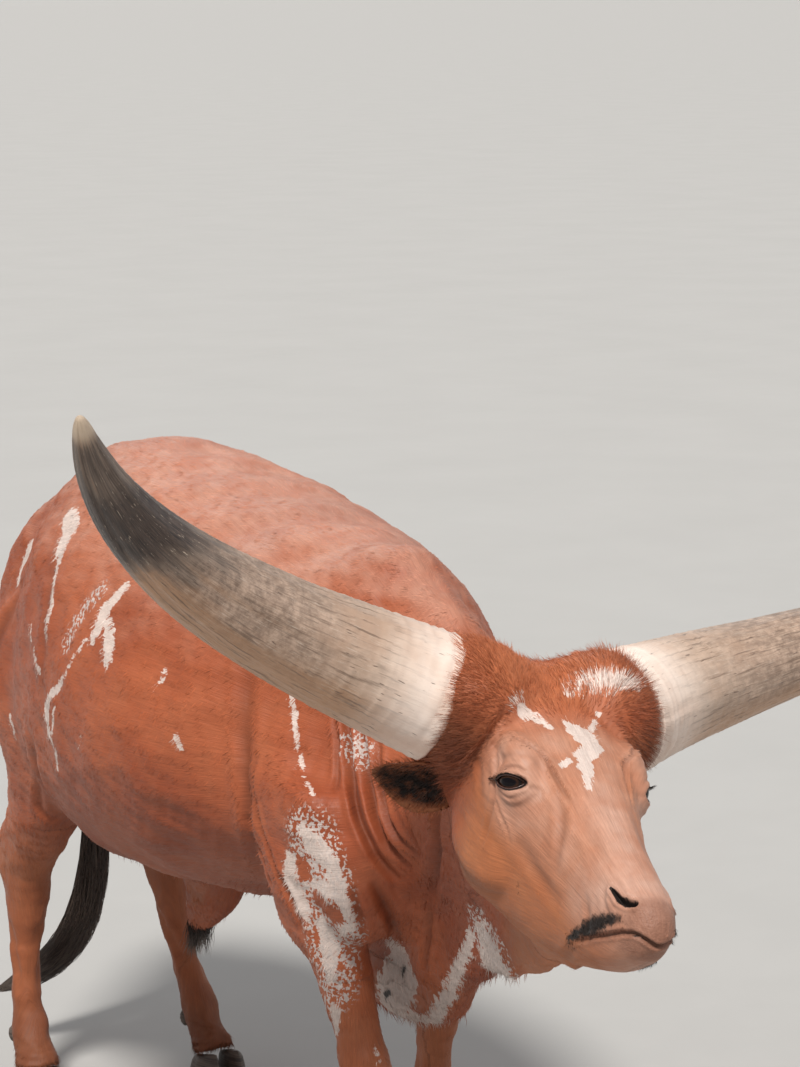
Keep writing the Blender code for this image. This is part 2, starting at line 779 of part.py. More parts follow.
def ear(name, side):
    """One cupped ear, open to the front and below."""
    pose = head_pose()
    rows = smooth_rows([(*p, w, c) for p, w, c in zip(EAR_LINE, EAR_WIDTHS, EAR_CUPS)], 3)
    points = [Vector((side * x, -reach, height)) for x, reach, height, _, _ in rows]
    opening = Vector((side * EAR_OPENING.x, EAR_OPENING.y, EAR_OPENING.z))
    rings = []
    for i, row in enumerate(rows):
        along = (points[min(i + 1, len(rows) - 1)] - points[max(i - 1, 0)]).normalized()
        face = (opening - along * opening.dot(along)).normalized()
        across = face.cross(along)
        width, cup = row[3], row[4]
        thick = min(EAR_THICKNESS, cup)
        ring = []
        for k in range(8):
            angle = math.pi * k / 7
            ring.append(points[i] + across * math.cos(angle) * width - face * math.sin(angle) * cup)
        for k in range(6, 0, -1):
            angle = math.pi * k / 7
            depth = math.sin(angle) * max(cup - thick, 0.1 * cup)
            wide = math.cos(angle) * (width - thick * 0.6)
            ring.append(points[i] + across * wide - face * depth)
        rings.append([pose @ p for p in ring])
    return loft_mesh(name, rings)


def foot_place(leg):
    """Middle of a foot on the floor."""
    x, y, _ = LEG_LINES[leg][-1]
    return Vector((x, y, 0))


def coronet_pose(leg):
    """Pose whose plane z = 0 is the top of the hoof, higher at the toe."""
    place = foot_place(leg)
    slope = math.atan2(CORONET_FRONT - CORONET_BACK, HOOF_FRONT + HOOF_BACK)
    middle = Vector((0, 0, CORONET_BACK + math.tan(slope) * HOOF_BACK))
    return Matrix.Translation(place + middle) @ Matrix.Rotation(-slope, 4, "X")


def claw(name, leg, side):
    """One claw of a foot, flat below and pointed forward."""
    place = foot_place(leg)
    turn = Matrix.Rotation(math.radians(-side * CLAW_SPLAY), 4, "Z")
    slope = (CORONET_FRONT - CORONET_BACK) / (HOOF_FRONT + HOOF_BACK)
    rings = []
    for level in (0.0, 0.08, 0.5, 1.0):
        ring = []
        for k in range(CLAW_SIDES):
            angle = 2 * math.pi * k / CLAW_SIDES
            toe = max(-math.sin(angle), 0)
            heel = max(math.sin(angle), 0)
            shrink = 1 - 0.16 * level - (0.03 if level == 0.0 else 0)
            y = -toe * (HOOF_FRONT - 0.026 * level) + heel * (HOOF_BACK - 0.006 * level)
            reach_in = math.cos(angle) * side < 0
            half = CLAW_HALF * (0.80 if reach_in else 1.0) * shrink
            x = side * CLAW_OFFSET * (1 - 0.10 * level) + math.cos(angle) * half * (1 - 0.45 * toe**3)
            top = CORONET_BACK + slope * (HOOF_BACK - y) - GAP
            ring.append(place + turn @ Vector((x, y, top * level)))
        rings.append(ring)
    return loft_mesh(name, rings)


def dewclaw(name, leg, side):
    """One dewclaw behind the fetlock."""
    row = leg_sections(leg)
    fetlock, pastern = row[8], row[9]
    share = (fetlock.z - DEWCLAW_HEIGHT) / (fetlock.z - pastern.z)
    x = fetlock.x + (pastern.x - fetlock.x) * share + side * DEWCLAW_OFFSET
    y = fetlock.y + (pastern.y - fetlock.y) * share + fetlock.below
    return ball(name, (x, y, DEWCLAW_HEIGHT), DEWCLAW_SIZE, None, 2)


def body_skin():
    """The whole flesh of the animal behind the head, as one skin."""
    pieces = [loft("trunk", TRUNK, 32), loft("neck", NECK, 28), loft("dewlap", DEWLAP, 16)]
    for (x, y, z), radii in MUSCLES:
        for side in (-1, 1):
            pieces.append(ball("muscle", (side * x, y, z), radii))
    pieces.extend(loft(leg, leg_sections(leg), 18) for leg in LEG_LINES)
    pieces.extend(skull_pieces())
    return fused("body", pieces, BODY_GRAIN, BODY_TRIANGLES, BODY_SMOOTHING, broadness)


def leg_cells(leg, part, spare=0.0):
    """Box that holds one length of a leg: its upper part, its shank, or both."""
    side = -1 if leg.endswith("right") else 1
    fore = leg.startswith("fore")
    height, slope = FORE_TOP if fore else HIND_TOP
    joint = KNEE_HEIGHT if fore else HOCK_HEIGHT
    inner, outer, front, back = LEG_CELL
    inner = FORE_MIDLINE if fore else inner
    middle = LEG_LINES[leg][3][1] + (0 if fore else 0.08)
    low, high = {
        "upper": (joint + GAP / 2, height),
        "shank": (-0.5, joint - GAP / 2),
        "whole": (-0.5, height),
    }[part]
    xs = sorted((side * (inner - spare), side * (outer + spare)))
    corner = Vector((0, middle - front - spare, 0))
    if part == "shank" or not slope:
        return block("cell", (xs[0], corner.y, low), (xs[1], middle + back, high + spare))
    shape = bmesh.new()
    bmesh.ops.create_cube(shape, size=1.0)
    rise = math.tan(math.radians(slope))
    depth = front + back + 2 * spare
    for vert in shape.verts:
        x = xs[0] if vert.co.x < 0 else xs[1]
        y = corner.y if vert.co.y < 0 else corner.y + depth
        z = low if vert.co.z < 0 else high + spare + (rise * depth if vert.co.y > 0 else 0)
        vert.co = (x, y, z)
    mesh = bpy.data.meshes.new("cell")
    shape.to_mesh(mesh)
    shape.free()
    return object_of("cell", mesh)


def make_trunk_and_legs(nodes):
    """Part the body's skin into trunk, neck and the lengths of the legs."""
    body = body_skin()
    for leg in LEG_LINES:
        upper = copied(body, f"{leg}_leg")
        nodes[upper.name] = (carve_all(upper, [leg_cells(leg, "upper")], "INTERSECT"), COAT)
        shank = copied(body, f"{leg}_shank")
        carve_all(shank, [leg_cells(leg, "shank")], "INTERSECT")
        under = block("under", (-1, -1, -1), (1, 1, 0), coronet_pose(leg))
        nodes[shank.name] = (carve_all(shank, [under]), SHANK)
    neck = copied(body, "neck")
    cutters = [half_space("cut", neck_plane(), 1), half_space("cut", head_plane(), -1)]
    nodes["neck"] = (carve_all(neck, cutters), COAT)
    torso = body
    torso.name = "torso"
    cutters = [leg_cells(leg, "whole", GAP) for leg in LEG_LINES]
    cutters.append(half_space("cut", neck_plane(), -1))
    nodes["torso"] = (carve_all(torso, cutters), COAT)


def make_head(nodes):
    """The head with its sockets, nostrils and mouth, and the eyes, horns and ears on it."""
    neck = nodes["neck"][0]
    carve_all(neck, [horn("horn_clear", side, 2 * GAP) for side in (-1, 1)])
    pieces = skull_pieces()
    pieces.append(loft("neck_stub", NECK, 28))
    pieces.append(loft("throat_skin", DEWLAP, 16))
    head = fused("head", pieces, HEAD_GRAIN, HEAD_TRIANGLES, HEAD_SMOOTHING, poll_softness)
    carve_all(head, [half_space("cut", head_plane(), 1)])
    cutters = [mouth_cut()]
    for side in (-1, 1):
        cutters.append(nostril_cut(side))
        cutters.append(horn("horn_socket", side, GAP))
        cutters.append(eye_opening(side))
        cutters.append(eyeball("eye_socket", side, EYE_RADIUS + GAP * 1.5))
    nodes["head"] = (carve_all(head, cutters), FACE)
    for side, word in ((-1, "right"), (1, "left")):
        nodes[f"horn_{word}"] = (horn(f"horn_{word}", side), HORN)
        nodes[f"eye_{word}"] = (eyeball(f"eye_{word}", side, EYE_RADIUS), EYE)
        flap = ear(f"ear_{word}", side)
        cutters = [grown(head, "head_grown"), grown(neck, "neck_grown"), horn("horn_clear", side, 2 * GAP)]
        nodes[flap.name] = (carve_all(flap, cutters), EAR_COAT)


def make_feet(nodes):
    """Claws of every leg, and its dewclaws, each set in a socket of the shank."""
    for leg in LEG_LINES:
        shank = nodes[f"{leg}_shank"][0]
        for side, word in ((-1, "right"), (1, "left")):
            name = f"{leg}_claw_{word}"
            nodes[name] = (claw(name, leg, side), HOOF)
            name = f"{leg}_dewclaw_{word}"
            nodes[name] = (dewclaw(name, leg, side), HOOF)
            carve_all(shank, [grown(nodes[name][0], "dewclaw_socket")])


def switch_point(share):
    """Centre of the switch at a share of its length, its direction there and its half width."""
    rows = smooth_rows(SWITCH_LINE, STEPS)
    place = min(max(share, 0), 1) * (len(rows) - 1)
    i = min(int(place), len(rows) - 2)
    low, high = rows[i], rows[i + 1]
    row = [a + (b - a) * (place - i) for a, b in zip(low, high)]
    along = (Vector(high[:3]) - Vector(low[:3])).normalized()
    return Vector(row[:3]), along, row[3]


def switch_lock(turn, start, length):
    """One flat tapered lock, rooted in the core of the switch and lying along it to its own tip."""
    rings = []
    for i in range(LOCK_RINGS + 1):
        t = i / LOCK_RINGS
        centre, along, half = switch_point(start + length * t)
        across = Vector((0, 1, 0)).cross(along).normalized()
        up = along.cross(across)
        angle = turn + 0.5 * t
        out = across * math.cos(angle) + up * math.sin(angle)
        side = along.cross(out)
        stand = half * (0.25 + (LOCK_SPREAD - 0.25) * min(1, 2.2 * t)) - LOCK_THICKNESS
        middle = centre + out * max(stand, 0.3 * half)
        taper = math.sqrt(1 - t**2) if i < LOCK_RINGS else 0.04
        wide = LOCK_WIDTH * taper * (0.6 + 0.4 * min(1, 3 * t))
        thick = LOCK_THICKNESS * (0.25 + 0.75 * taper)
        rings.append([middle + side * wide, middle + out * thick, middle - side * wide, middle - out * thick])
    return loft_mesh("lock", rings)


def switch_locks():
    """Overlapping locks all round the switch, the last ones reaching its tip."""
    golden = math.pi * (3 - math.sqrt(5))
    locks = []
    for i in range(SWITCH_LOCKS):
        share = i / (SWITCH_LOCKS - 1)
        start = 0.03 + 0.47 * share
        length = LOCK_LENGTHS[0] + (LOCK_LENGTHS[1] - LOCK_LENGTHS[0]) * ((i * 7) % 5) / 4
        locks.append(switch_lock(golden * i, start, min(length, 1.0 - start)))
    return locks


def united(obj, pieces):
    """Fuse closed pieces into an object by one union, and keep its outer surface."""
    group = bpy.data.collections.new("pieces")
    for piece in pieces:
        group.objects.link(piece)
    modifier = obj.modifiers.new("Unite", "BOOLEAN")
    modifier.operand_type = "COLLECTION"
    modifier.collection = group
    modifier.operation = "UNION"
    modifier.solver = "EXACT"
    apply_modifiers(obj)
    for piece in pieces:
        bpy.data.objects.remove(piece)
    bpy.data.collections.remove(group)
    return largest_surface(obj)


def make_tail(nodes):
    """Tail and its switch."""
    torso = nodes["torso"][0]
    tail = loft("tail", TAIL_LINE, 12, 3)
    below = block("below", (-1, 0.5, -0.5), (1, 1.6, TAIL_END + GAP / 2))
    nodes["tail"] = (carve_all(tail, [grown(torso, "torso_grown"), below]), COAT)
    core = [SWITCH_LINE[0]]
    for row in SWITCH_LINE[1:]:
        core.append(Section(*row[:3], *(SWITCH_CORE * girth for girth in row[3:6])))
    switch = united(loft("tail_switch", core, 10, 2), switch_locks())
    above = block("above", (-1, 0.5, TAIL_END - GAP / 2), (1, 1.6, 2.0))
    nodes["tail_switch"] = (carve_all(switch, [above]), SWITCH)


def make_sheath(nodes):
    """The sheath under the belly."""
    flap = loft("sheath", SHEATH_LINE, 14, 3)
    nodes["sheath"] = (carve_all(flap, [grown(nodes["torso"][0], "torso_grown")]), COAT)


def stand_on_origin(objects):
    """Move the animal so that the origin is on the floor under the middle of its box."""
    corners = [v.co for obj in objects for v in obj.data.vertices]
    middle_x = (min(c.x for c in corners) + max(c.x for c in corners)) / 2
    middle_y = (min(c.y for c in corners) + max(c.y for c in corners)) / 2
    for obj in objects:
        obj.location = (-middle_x, -middle_y, 0)


def main():
    clear_scene()
    nodes = {}
    make_trunk_and_legs(nodes)
    make_head(nodes)
    make_feet(nodes)
    make_tail(nodes)
    make_sheath(nodes)
    for name, (obj, finish) in nodes.items():
        obj.name = name
        obj.data.name = name
        obj.data.materials.clear()
        obj.data.materials.append(coated(name, finish))
        obj.data.shade_smooth()
    stand_on_origin([obj for obj, _ in nodes.values()])


main()
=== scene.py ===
"""Looks of a life-size Ankole-Watusi steer: skin, coat, horns, eyes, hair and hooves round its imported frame.

Lengths are in metres and +Z is up. Shapes are worked in the animal's own frame, where it faces -Y and its
left side is +X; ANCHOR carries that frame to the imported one. A point of the head is given as x, reach from
the poll to the muzzle, and height, with the head held level.
"""

import json
import logging
import math
from dataclasses import dataclass
from enum import Enum
from typing import Sequence

import bmesh
import bpy
import numpy as np
from bmesh.types import BMesh
from bpy.types import Material, Mesh, Node, NodeTree, Object
from mathutils import Matrix, Vector

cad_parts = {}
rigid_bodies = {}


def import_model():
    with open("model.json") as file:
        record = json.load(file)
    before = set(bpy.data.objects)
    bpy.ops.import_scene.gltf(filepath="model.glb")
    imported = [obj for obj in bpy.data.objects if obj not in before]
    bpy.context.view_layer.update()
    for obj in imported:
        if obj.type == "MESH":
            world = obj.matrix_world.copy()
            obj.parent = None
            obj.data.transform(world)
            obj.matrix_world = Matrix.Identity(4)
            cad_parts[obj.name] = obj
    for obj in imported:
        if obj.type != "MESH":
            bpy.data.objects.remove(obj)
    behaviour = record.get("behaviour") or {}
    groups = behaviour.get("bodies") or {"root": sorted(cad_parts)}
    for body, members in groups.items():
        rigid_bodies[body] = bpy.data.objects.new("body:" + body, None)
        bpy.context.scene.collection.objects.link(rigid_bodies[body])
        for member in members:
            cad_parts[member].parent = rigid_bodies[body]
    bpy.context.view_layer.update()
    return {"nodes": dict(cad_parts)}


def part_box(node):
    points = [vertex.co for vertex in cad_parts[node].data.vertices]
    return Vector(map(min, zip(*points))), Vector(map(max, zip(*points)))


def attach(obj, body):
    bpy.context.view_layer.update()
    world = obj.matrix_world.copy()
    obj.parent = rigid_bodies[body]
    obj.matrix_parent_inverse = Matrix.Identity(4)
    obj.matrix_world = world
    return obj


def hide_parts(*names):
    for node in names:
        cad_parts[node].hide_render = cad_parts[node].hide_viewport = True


for startup in list(bpy.data.objects):
    bpy.data.objects.remove(startup)
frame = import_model()

Array = np.ndarray
LOG = logging.getLogger("steer")
BODY = "root"
LEGS = ("fore_right", "fore_left", "hind_right", "hind_left")
SIDES = ((-1, "right"), (1, "left"))

# Head pose, and the parts of the head that the skin, eyes, horns and ears share
HEAD_SEAT = Vector((-0.1198, -1.0186, 1.206))
HEAD_YAW = -10.9
HEAD_PITCH = 19.2
HEAD_ROLL = 11.5
HEAD_POSE = (
    Matrix.Translation(HEAD_SEAT)
    @ Matrix.Rotation(math.radians(HEAD_YAW), 4, "Z")
    @ Matrix.Rotation(math.radians(HEAD_PITCH), 4, "X")
    @ Matrix.Rotation(math.radians(HEAD_ROLL), 4, "Y")
)
HEAD_TURN = np.array(HEAD_POSE.to_3x3())
EYE_PLACE = (0.097, 0.216, -0.063)
LID_RADIUS = 0.03
OPENING = (0.0235, 0.011, 0.0095)
HORN_ROOT = (0.15, 0.002, -0.052)
WHORL = (0.004, 0.185, 0.0)

MOUTH_LINE = [
    (0.0, 0.578, -0.101), (0.014, 0.574, -0.097), (0.025, 0.566, -0.094), (0.034, 0.555, -0.098),
    (0.043, 0.537, -0.111), (0.049, 0.509, -0.136), (0.053, 0.483, -0.158), (0.054, 0.455, -0.184),
]
NOSTRIL_LINE = [
    (0.0465, 0.48, -0.071), (0.045, 0.495, -0.07), (0.0437, 0.508, -0.071), (0.04, 0.522, -0.067),
    (0.033, 0.533, -0.061),
]
LIPS = np.array([(-x, reach, height) for x, reach, height in MOUTH_LINE[:0:-1]] + MOUTH_LINE)
NOSTRIL_SHARES = (0.0, 0.3, 0.75, 1.0)
NOSTRIL_HALVES = (0.0026, 0.0048, 0.0078, 0.0062)
NOSTRIL_INWARD = (-0.72, 0.13, -0.68)
# For trunk, head, four legs and tail: corner and size on the unwrap, and the least and most place along it
CHART = np.array([
    (0.01, 0.01, 0.6, 0.58, -0.98, 1.1), (0.01, 0.62, 0.6, 0.36, -0.1, 0.62),
    (0.64, 0.01, 0.16, 0.23, 0, 0.62), (0.64, 0.26, 0.16, 0.23, 0, 0.62),
    (0.64, 0.51, 0.16, 0.23, 0, 0.62), (0.64, 0.76, 0.16, 0.22, 0, 0.62),
    (0.83, 0.01, 0.06, 0.6, 0.05, 1.22),
])
HEAD_BACK = -0.95
# No strand reaches below this height over the floor
FLOOR_GAP = 0.002


def from_head(rows: Sequence) -> Array:
    """Points of the head carried to the animal's frame.

    Args:
        rows: Points as x, reach and height.

    Returns:
        The points, one row each.
    """
    level = np.atleast_2d(np.array(rows, float)) * (1, -1, 1)
    return level @ HEAD_TURN.T + np.array(HEAD_SEAT)


def to_head(points: Array) -> Array:
    """Points of the animal's frame as x, reach and height of the head."""
    return ((points - np.array(HEAD_SEAT)) @ HEAD_TURN) * (1, -1, 1)


def of_head(points: Array, head: Array, start: float) -> Array:
    """Which points belong to the head, from a reach on."""
    return (points[:, 1] < HEAD_BACK) & (head[:, 1] > start)


def carried(rings: Array) -> Array:
    """Rings in the axes of the level head, +Y running back, carried to the animal's frame."""
    return from_head(rings.reshape(-1, 3) * (1, -1, 1)).reshape(rings.shape)


def one_side(points: Array) -> Array:
    """The points, those of the right half mirrored to the left one."""
    return np.column_stack([np.abs(points[:, 0]), points[:, 1:]])


def eye_frame(side: int) -> Matrix:
    """Pose of one eye: +Z looks outward, +X runs to the outer corner and +Y up over the lid."""
    x, reach, height = EYE_PLACE
    outward = Vector((side * 0.8, -0.55, 0.2)).normalized()
    along = Vector((side * 0.42, 0.8, -0.43))
    along = (along - outward * along.dot(outward)).normalized()
    up = outward.cross(along)
    if up.z < 0:
        up = -up
    pose = Matrix((along, up, outward)).transposed().to_4x4()
    pose.translation = Vector((side * x, -reach, height))
    return HEAD_POSE @ pose


def to_eye(points: Array, side: int) -> Array:
    """Points of the animal's frame in the frame of one eye."""
    pose = np.array(eye_frame(side))
    return (points - pose[:3, 3]) @ pose[:3, :3]


def from_eye(points: Array, side: int) -> Array:
    """Points in the frame of one eye, carried to the animal's frame."""
    pose = np.array(eye_frame(side))
    return points @ pose[:3, :3].T + pose[:3, 3]


def cad_anchor() -> Array:
    """Offset from the animal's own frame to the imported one, read from the right eye."""
    low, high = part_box("eye_right")
    return np.array((low + high) / 2 - eye_frame(-1).translation)


ANCHOR = cad_anchor()


def unit(vectors: Array) -> Array:
    """Rows of vectors at length one."""
    return vectors / np.maximum(np.linalg.norm(vectors, axis=-1, keepdims=True), 1e-9)


def raise_column(rows: Array, column: int, values: Array) -> None:
    """Raise one column of some rows to at least the values given."""
    rows[:, column] = np.maximum(rows[:, column], values)


def blend(values: Array, low: float, high: float) -> Array:
    """Smooth step from 0 at low to 1 at high, which may be the lesser."""
    t = np.clip((values - low) / (high - low), 0, 1)
    return t * t * (3 - 2 * t)


def smooth_rows(rows: Sequence, steps: int) -> Array:
    """Rows of numbers with more rows between them, on a curve that passes through all of them.

    Args:
        rows: The rows that the curve passes through.
        steps: How many rows each stretch becomes.

    Returns:
        All rows, from the first to the last.
    """
    rows = np.array(rows, float)
    padded = np.vstack([rows[:1], rows, rows[-1:]])
    found = []
    for i in range(len(rows) - 1):
        before, start, end, after = padded[i:i + 4]
        slope = (end - before) / 2
        next_slope = (after - start) / 2
        rise = end - start
        for t in np.arange(steps) / steps:
            bend = 3 * rise - 2 * slope - next_slope + t * (slope + next_slope - 2 * rise)
            found.append(start + t * (slope + t * bend))
    found.append(rows[-1])
    return np.array(found)


def path_field(points: Array, path: Array) -> tuple[Array, Array]:
    """Distance from each point to a path, and the share of the path where it is nearest."""
    best = np.full(len(points), np.inf)
    share = np.zeros(len(points))
    pieces = max(len(path) - 1, 1)
    for i in range(pieces):
        start = path[i]
        run = path[min(i + 1, len(path) - 1)] - start
        along = np.clip((points - start) @ run / max(run @ run, 1e-12), 0, 1)
        away = np.linalg.norm(points - start - along[:, None] * run, axis=1)
        nearer = away < best
        best[nearer] = away[nearer]
        share[nearer] = (i + along[nearer]) / pieces
    return best, share


def beside(points: Array, line: Array, reach: float) -> Array:
    """Numbers of the points that lie in the box round a line, made wider by reach."""
    return np.flatnonzero(np.all((points > line.min(0) - reach) & (points < line.max(0) + reach), axis=1))


@dataclass
class Shape:
    """A closed surface of triangles.

    Attributes:
        points: One row for each point.
        triangles: Point numbers, three a row.
    """

    points: Array
    triangles: Array

    def normals(self) -> Array:
        """Unit normal at each point."""
        corners = self.points[self.triangles]
        faces = np.cross(corners[:, 1] - corners[:, 0], corners[:, 2] - corners[:, 0])
        total = np.zeros_like(self.points)
        for axis in range(3):
            for corner in range(3):
                total[:, axis] += np.bincount(self.triangles[:, corner], faces[:, axis], len(self.points))
        return unit(total)

    def edges(self) -> Array:
        """Pairs of joined points."""
        pairs = np.vstack([self.triangles[:, [0, 1]], self.triangles[:, [1, 2]], self.triangles[:, [2, 0]]])
        return np.unique(np.sort(pairs, axis=1), axis=0)

    def relax(self, weight: Array, rounds: int) -> None:
        """Move each point toward the middle of its neighbours.

        Args:
            weight: How much each point moves, from 0 to 1.
            rounds: How many times.
        """
        first, second = self.edges().T
        size = len(self.points)
        count = np.maximum(np.bincount(first, minlength=size) + np.bincount(second, minlength=size), 1)
        step = (0.5 * weight)[:, None]
        for _ in range(rounds):
            middle = np.empty_like(self.points)
            for axis in range(3):
                values = self.points[:, axis]
                total = np.bincount(first, values[second], size) + np.bincount(second, values[first], size)
                middle[:, axis] = total
            self.points = self.points + step * (middle / count[:, None] - self.points)


def merged(shapes: Sequence[Shape]) -> Shape:
    """Several shapes as one."""
    start = 0
    triangles = []
    for shape in shapes:
        triangles.append(shape.triangles + start)
        start += len(shape.points)
    return Shape(np.vstack([shape.points for shape in shapes]), np.vstack(triangles))


def over_rings(rings: Array) -> Shape:
    """Closed surface over rings that all have the same number of points.

    Args:
        rings: Ring by ring, point by point, as an array of three dimensions.

    Returns:
        The surface, with both ends closed.
    """
    count, sides = rings.shape[:2]
    grid = np.arange(count * sides).reshape(count, sides)
    across = np.roll(grid, -1, axis=1)
    low, low_next, high, high_next = grid[:-1], across[:-1], grid[1:], across[1:]
    walls = np.stack([low, low_next, high_next, low, high_next, high], axis=-1).reshape(-1, 3)
    first, last = count * sides, count * sides + 1
    start = np.stack([across[0], grid[0], np.full(sides, first)], axis=-1)
    end = np.stack([grid[-1], across[-1], np.full(sides, last)], axis=-1)
    points = np.vstack([rings.reshape(-1, 3), rings[0].mean(0), rings[-1].mean(0)])
    shape = Shape(points, np.vstack([walls, start, end]))
    return outward(shape)


def outward(shape: Shape) -> Shape:
    """The same closed surface, facing out."""
    corners = shape.points[shape.triangles] - shape.points.mean(0)
    if np.einsum("ij,ij->i", corners[:, 0], np.cross(corners[:, 1], corners[:, 2])).sum() < 0:
        return Shape(shape.points, shape.triangles[:, ::-1])
    return shape


def limb(sections: Sequence, sides: int, steps: int, side_axis: Sequence[float] = (1, 0, 0)) -> Shape:
    """Closed limb over sections of centre, half width, reach above and below, and roundness.

    Args:
        sections: Rows of x, y, z, half, above, below and power.
        sides: Points round each ring.
        steps: Rings for each stretch between two sections.
        side_axis: The way its width keeps.

    Returns:
        The limb.
    """
    rows = smooth_rows(sections, steps)
    along = unit(np.gradient(rows[:, :3], axis=0))
    across = np.array(side_axis, float) - along * (along @ np.array(side_axis, float))[:, None]
    across = unit(across)
    up = np.cross(along, across)
    turn = 2 * math.pi * np.arange(sides) / sides
    cosine, sine = np.cos(turn), np.sin(turn)
    bend = (2 / rows[:, 6])[:, None]
    wide = np.sign(cosine) * np.abs(cosine) ** bend * rows[:, 3:4]
    tall = np.sign(sine) * np.abs(sine) ** bend * np.where(sine > 0, rows[:, 4:5], rows[:, 5:6])
    rings = rows[:, None, :3] + across[:, None] * wide[..., None] + up[:, None] * tall[..., None]
    return over_rings(rings)


def tube(path: Array, radii: Array, sides: int = 8) -> Shape:
    """Round closed tube along a path, with a radius at each of its points."""
    rows = np.column_stack([path, radii, radii, radii, np.full(len(path), 2.0)])
    along = path[-1] - path[0]
    axis = np.eye(3)[np.argmin(np.abs(along))]
    return limb(rows, sides, 1, axis)


def ball(centre: Sequence[float], radii: Sequence[float], turn: Array, rings: int = 24) -> Shape:
    """Ellipsoid whose axes are turned by a matrix."""
    polar = math.pi * (np.arange(rings) + 0.5) / rings
    round_ = 2 * math.pi * np.arange(2 * rings) / (2 * rings)
    level = np.sin(polar)[:, None]
    height = np.repeat(np.cos(polar)[:, None], 2 * rings, axis=1)
    grid = np.stack([level * np.cos(round_), level * np.sin(round_), height], axis=-1)
    return over_rings(grid * np.array(radii) @ turn.T + np.array(centre))


def head_rings(rows: Array, sides: int) -> Array:
    """Rings of the head over rows of reach, top, bottom, half width, widest height and roundness."""
    turn = 2 * math.pi * np.arange(sides) / sides
    cosine, sine = np.cos(turn), np.sin(turn)
    bend = (2 / rows[:, 5])[:, None]
    tall = np.where(sine > 0, (rows[:, 1] - rows[:, 4])[:, None], (rows[:, 4] - rows[:, 2])[:, None])
    x = np.sign(cosine) * np.abs(cosine) ** bend * rows[:, 3:4]
    z = rows[:, 4:5] + np.sign(sine) * np.abs(sine) ** bend * tall
    reach = np.repeat(rows[:, :1], sides, axis=1)
    return from_head(np.stack([x, reach, z], axis=-1).reshape(-1, 3)).reshape(len(rows), sides, 3)


def node_shape(name: str, swell: float = 0.0) -> Shape:
    """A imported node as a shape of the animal's frame, its surface moved out a little.

    Args:
        name: The node.
        swell: How far its points move out.

    Returns:
        The shape, with points at one place joined.
    """
    mesh = frame["nodes"][name].data
    mesh.calc_loop_triangles()
    points = np.empty(len(mesh.vertices) * 3)
    mesh.vertices.foreach_get("co", points)
    triangles = np.empty(len(mesh.loop_triangles) * 3, np.int32)
    mesh.loop_triangles.foreach_get("vertices", triangles)
    rounded = np.round(points.reshape(-1, 3), 6)
    joined, index = np.unique(rounded, axis=0, return_inverse=True)
    triangles = index.reshape(-1)[triangles.reshape(-1, 3)]
    shape = Shape(joined - ANCHOR, triangles)
    shape.points = shape.points + shape.normals() * swell
    return shape


def as_mesh(name: str, shape: Shape) -> Mesh:
    """A shape as a mesh in its own frame."""
    mesh = bpy.data.meshes.new(name)
    mesh.from_pydata(shape.points.tolist(), [], shape.triangles.tolist())
    return mesh


def as_shape(work: BMesh) -> Shape:
    """The triangles of a bmesh, which is freed."""
    bmesh.ops.triangulate(work, faces=work.faces)
    points = np.array([v.co for v in work.verts])
    triangles = np.array([[v.index for v in f.verts] for f in work.faces])
    work.free()
    return Shape(points, triangles)


def linked(name: str, data: object) -> Object:
    """A new object in the scene."""
    made = bpy.data.objects.new(name, data)
    bpy.context.scene.collection.objects.link(made)
    return made


def colour_rows(mesh: Mesh, name: str, values: Array) -> None:
    """Keep a row of four numbers for each point of a mesh."""
    layer = mesh.attributes.new(name, "FLOAT_COLOR", "POINT")
    layer.data.foreach_set("color", np.ascontiguousarray(values, np.float32).ravel())


def vector_rows(mesh: Mesh, name: str, values: Array) -> None:
    """Keep a vector for each point of a mesh."""
    layer = mesh.attributes.new(name, "FLOAT_VECTOR", "POINT")
    layer.data.foreach_set("vector", np.ascontiguousarray(values, np.float32).ravel())


def piece(name: str, shape: Shape, material: Material, smooth: bool = True) -> Object:
    """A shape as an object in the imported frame.

    Args:
        name: Name of the piece.
        shape: Its surface, in the animal's frame.
        material: Its finish.
        smooth: Whether it is shaded smooth.

    Returns:
        The object, linked to the scene and riding on the body.
    """
    mesh = bpy.data.meshes.new(name)
    count = len(shape.triangles)
    mesh.vertices.add(len(shape.points))
    mesh.vertices.foreach_set("co", (shape.points + ANCHOR).astype(np.float32).ravel())
    mesh.loops.add(count * 3)
    mesh.loops.foreach_set("vertex_index", shape.triangles.astype(np.int32).ravel())
    mesh.polygons.add(count)
    mesh.polygons.foreach_set("loop_start", np.arange(0, count * 3, 3, dtype=np.int32))
    mesh.update(calc_edges=True)
    mesh.validate()
    mesh.polygons.foreach_set("use_smooth", np.full(len(mesh.polygons), smooth))
    mesh.materials.append(material)
    made = linked(name, mesh)
    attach(made, BODY)
    LOG.info("%s: %d triangles", name, count)
    return made


# Finishes


